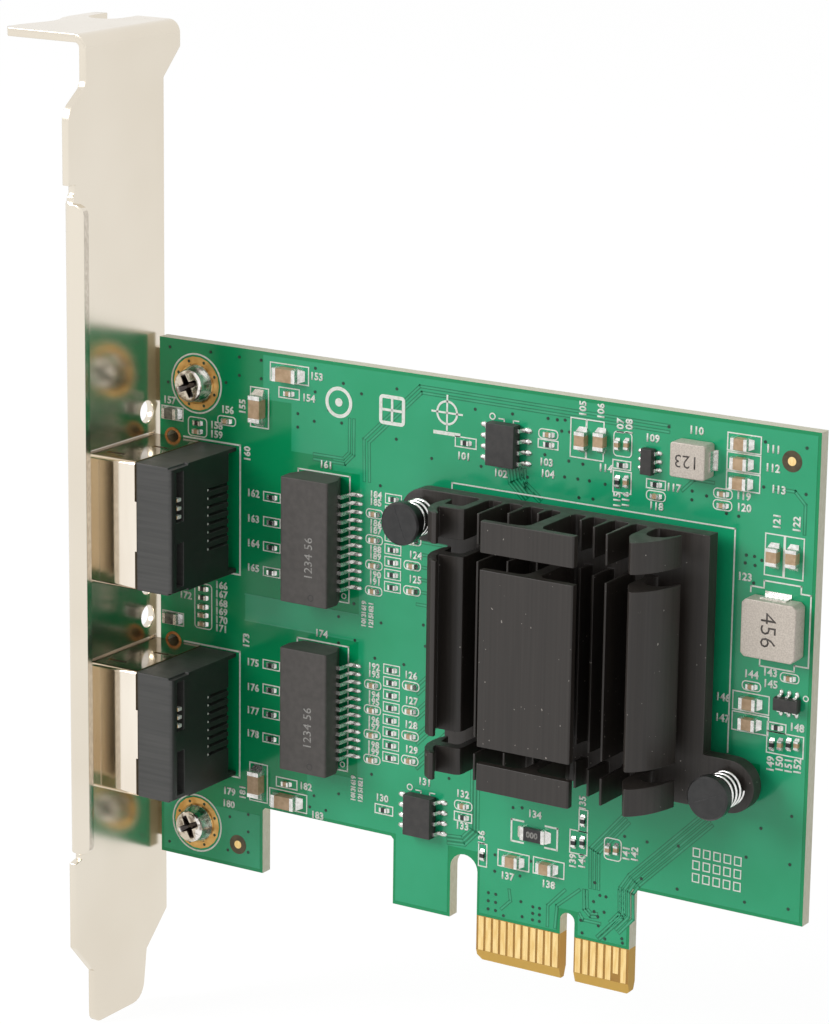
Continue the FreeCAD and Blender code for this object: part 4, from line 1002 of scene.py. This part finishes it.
def bracket_screws():
    """Pan head screws with a tapered cross recess and a grooved end."""
    top = 2.75
    tip = -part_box("bracket_screws")[1].y / MM
    bm = bmesh.new()
    recess = bm.verts.layers.float.new("recess")
    head = [(1.62, top), (1.80, 2.70), (1.90, 2.58), (1.94, 2.40), (2.02, 2.10), (2.24, 1.50),
            (2.38, 1.22), (2.44, 1.05), (2.44, 0.92), (2.36, 0.852), (1.22, 0.852)]
    grooves = []
    for number in range(4):
        grooves += [(1.22, tip + 1.75 - number * 0.42), (1.05, tip + 1.54 - number * 0.42)]
    turned(bm, head + grooves + [(0.9, tip), (0, tip)], 48)
    rim = [edge for edge in bm.edges if edge.is_boundary]
    # the mouth of the recess, one arm after another, then drawn in towards its floor
    mouth = []
    for quarter in range(4):
        turn = Matrix.Rotation(math.radians(90 * quarter + 25), 4, "Z")
        for x, y in ((0.42, 0.42), (1.42, 0.34), (1.5, 0), (1.42, -0.34)):
            mouth.append(bm.verts.new(turn @ Vector((x, -y, top))))
    lip = [bm.edges.new(pair) for pair in zip(mouth, mouth[1:] + mouth[:1])]
    bmesh.ops.triangle_fill(bm, edges=rim + lip, use_beauty=True, normal=(0, 0, 1))
    for depth, size in ((0.2, 0.88), (0.5, 0.45)):
        grown = bmesh.ops.extrude_edge_only(bm, edges=lip)["geom"]
        lower = [item for item in grown if isinstance(item, bmesh.types.BMVert)]
        lip = [item for item in grown if isinstance(item, bmesh.types.BMEdge) and item.is_boundary]
        bmesh.ops.translate(bm, verts=lower, vec=(0, 0, -depth))
        bmesh.ops.scale(bm, vec=(size, size, 1), verts=lower)
        # mark the recess faces, which the screw finish darkens as painted shade
        for vert in lower:
            vert[recess] = 1.0
    bmesh.ops.holes_fill(bm, edges=lip)
    first = bm.verts[:]
    copied = bmesh.ops.duplicate(bm, geom=first + bm.edges[:] + bm.faces[:])["geom"]
    second = [item for item in copied if isinstance(item, bmesh.types.BMVert)]
    for verts, height in zip((first, second), SCREW_HEIGHTS):
        bmesh.ops.translate(bm, verts=verts, vec=(SCREW_X, height, 0))
    stand_up(bm)
    soften(bm)
    made = keep("fixing_screws", bm, SCREW)
    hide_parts("bracket_screws")


def push_pin_spring(side):
    """Round wire wound evenly between the pin's head and the heatsink."""
    node = "push_pin_spring_" + side
    low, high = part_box(node)
    wire = 0.2 * MM
    turns = 4
    steps = 28
    rise = high.y - low.y - 2 * wire
    middle = (low + high) / 2
    bm = bmesh.new()
    start = Matrix.Translation((high.x - wire, low.y + wire, middle.z))
    section = bmesh.ops.create_circle(bm, segments=10, radius=wire, matrix=start)["verts"]
    edges = list({edge for vert in section for edge in vert.link_edges})
    bmesh.ops.spin(bm, geom=section + edges, cent=(middle.x, 0, middle.z), axis=(0, 1, 0),
                   dvec=(0, rise / (turns * steps), 0), angle=-math.tau * turns, steps=turns * steps)
    bmesh.ops.holes_fill(bm, edges=[edge for edge in bm.edges if edge.is_boundary])
    bmesh.ops.recalc_face_normals(bm, faces=bm.faces)
    soften(bm, 1.2)
    made = keep("wound_spring_" + side, bm, WIRE)
    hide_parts(node)


bracket_screws()
push_pin_spring("upper")
push_pin_spring("lower")


# small marks on the moulded parts

def top_of(node):
    """How far the piece reaches in front of the board's middle plane."""
    return -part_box(node)[0].y / MM


def middle_of(node):
    """The middle of the piece, along the board and up it."""
    low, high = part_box(node)
    return (low.x + high.x) / 2 / MM, (low.z + high.z) / 2 / MM


def moulded_marks():
    """Digits, rings and seams in the faces of the moulded parts."""
    pale = bmesh.new()
    dark = bmesh.new()
    for x, y in ((-33.2, 46.2), (-33.2, 25.6)):
        numeral(pale, "1234 56", x, y, 1.1, 90, 0.0)
        ring(dark, x + 0.3, y - 4.7, 0.4, 0.07, 14)
    case_top = top_of("transformer_body_upper")
    layer("transformer_numbers", pale, case_top, 0.015, PALE_MARK)
    layer("transformer_moulds", dark, case_top, 0.012, GLAZE)
    numbers = bmesh.new()
    numeral(numbers, "123", 14.8, 64.15, 1.45, 180, -0.01)
    numeral(numbers, "456", 25.35, 46.75, 1.9, -90, -0.02)
    layer("inductor_numbers", numbers, top_of("inductor_large_body"), 0.015, MARKING)
    zeros = bmesh.new()
    numeral(zeros, "000", -4.6, 16.9, 0.72)
    layer("jumper_zeros", zeros, top_of("jumper_resistor_body"), 0.015, PALE_MARK)
    seams = bmesh.new()
    for pin, lean in (("push_pin_upper", -68), ("push_pin_lower", 24)):
        x, y = middle_of(pin)
        across = 2.1 * math.cos(math.radians(lean))
        up = 2.1 * math.sin(math.radians(lean))
        stroke(seams, [(x - across, y - up), (x + across, y + up)], 0.12)
    layer("pin_seams", seams, top_of("push_pin_upper"), 0.02, GLAZE)


moulded_marks()


def jack_contact_heads():
    """Contact heads in the upper rear pocket, and wire ends in the rear slots, coloured near white as
    painted glints.
    """
    bm = bmesh.new()
    for middle in JACK_MIDDLES:
        for number in range(8):
            height = middle + (number - 3.5) * WIRE_PITCH
            blocks = [((-46.5, -6.55, height), (0.35, 0.25, 0.25))]
            if number > 4:
                blocks.append(((-46.7, -12.3, height), (0.8, 0.72, 0.42)))
            for centre, size in blocks:
                place = Matrix.Translation(centre) @ Matrix.Diagonal((*size, 1))
                bmesh.ops.create_cube(bm, size=1.0, matrix=place)
    bmesh.ops.bevel(bm, geom=bm.edges[:], offset=0.06, segments=2, profile=0.5, affect="EDGES", material=-1)
    bmesh.ops.scale(bm, vec=(MM, MM, MM), verts=bm.verts)
    soften(bm, 1.2)
    keep("jack_contact_heads", bm, CONTACT_GLINT_PAINT)


jack_contact_heads()


# studio

def stand():
    """A pale floor under the bracket's foot, which stays white round the card."""
    bm = bmesh.new()
    under = Matrix.Translation((0, 0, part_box("bracket")[0].z - 0.2 * MM))
    bmesh.ops.create_grid(bm, x_segments=1, y_segments=1, size=3.0, matrix=under)
    mesh = bpy.data.meshes.new("studio_floor")
    bm.to_mesh(mesh)
    bm.free()
    floor = bpy.data.objects.new("studio_floor", mesh)
    bpy.context.scene.collection.objects.link(floor)
    made = bpy.data.materials.new("studio_white")
    made.use_nodes = True
    tree = made.node_tree
    tree.nodes.clear()
    out = tree.nodes.new("ShaderNodeOutputMaterial")
    mix = tree.nodes.new("ShaderNodeMixShader")
    matt = tree.nodes.new("ShaderNodeBsdfDiffuse")
    matt.inputs["Color"].default_value = (0.85, 0.85, 0.84, 1)
    glow = tree.nodes.new("ShaderNodeEmission")
    glow.inputs["Color"].default_value = (1, 1, 1, 1)
    glow.inputs["Strength"].default_value = 1.1
    tree.links.new(work_out(tree, "MULTIPLY", seen_rays(tree), 0.86), mix.inputs["Fac"])
    tree.links.new(matt.outputs["BSDF"], mix.inputs[1])
    tree.links.new(glow.outputs["Emission"], mix.inputs[2])
    tree.links.new(mix.outputs["Shader"], out.inputs["Surface"])
    mesh.materials.append(made)


def seen_rays(tree):
    """One for rays from the camera and those mirrored or passed through, else zero."""
    path = tree.nodes.new("ShaderNodeLightPath")
    mirrored = work_out(tree, "MAXIMUM", path.outputs["Is Camera Ray"], path.outputs["Is Glossy Ray"])
    return work_out(tree, "MAXIMUM", mirrored, path.outputs["Is Transmission Ray"])


def surroundings():
    """A white room that lights the card softly."""
    world = bpy.data.worlds.new("studio")
    bpy.context.scene.world = world
    world.use_nodes = True
    tree = world.node_tree
    back = tree.nodes["Background"]
    back.inputs["Color"].default_value = (1, 1, 1, 1)
    tree.links.new(between(tree, seen_rays(tree), 0.34, 1.0), back.inputs["Strength"])


def lamp(name, place, size, watts):
    """A square soft lamp aimed at the middle of the card."""
    data = bpy.data.lights.new(name, "AREA")
    data.shape = "SQUARE"
    data.size = size
    data.energy = watts
    made = bpy.data.objects.new(name, data)
    bpy.context.scene.collection.objects.link(made)
    made.location = place
    made.rotation_mode = "QUATERNION"
    card_middle = Vector((-0.01, 0, 0.04))
    made.rotation_quaternion = (card_middle - Vector(place)).to_track_quat("-Z", "Y")


def camera():
    """Where the photographer stood: on the right of the parts' side, a little above."""
    turn = math.radians(32.05)
    rise = math.radians(14.32)
    lean = math.radians(0.75)
    back = Vector((math.sin(turn) * math.cos(rise), -math.cos(turn) * math.cos(rise), math.sin(rise)))
    right = (-back).cross(Vector((0, 0, 1))).normalized()
    up = back.cross(right)
    across = math.cos(lean) * right + math.sin(lean) * up
    upward = math.cos(lean) * up - math.sin(lean) * right
    data = bpy.data.cameras.new("camera")
    data.sensor_fit = "AUTO"
    data.sensor_width = 36
    focal_pixels = 3785.5
    photo_pixels = 1024
    data.lens = data.sensor_width * focal_pixels / photo_pixels
    data.clip_start = 0.01
    made = bpy.data.objects.new("camera", data)
    bpy.context.scene.collection.objects.link(made)
    facing = Matrix((across, upward, back)).transposed().to_4x4()
    stood = Vector((0.20203, -0.35771, 0.16015))
    made.matrix_world = Matrix.Translation(stood) @ facing
    bpy.context.scene.camera = made


stand()
surroundings()
lamp("key", (-0.80, -0.85, 0.70), 0.7, 10.2)
lamp("fill", (0.9, -0.6, 0.35), 0.6, 0.5)
camera()
bpy.context.scene.view_settings.view_transform = "Standard"
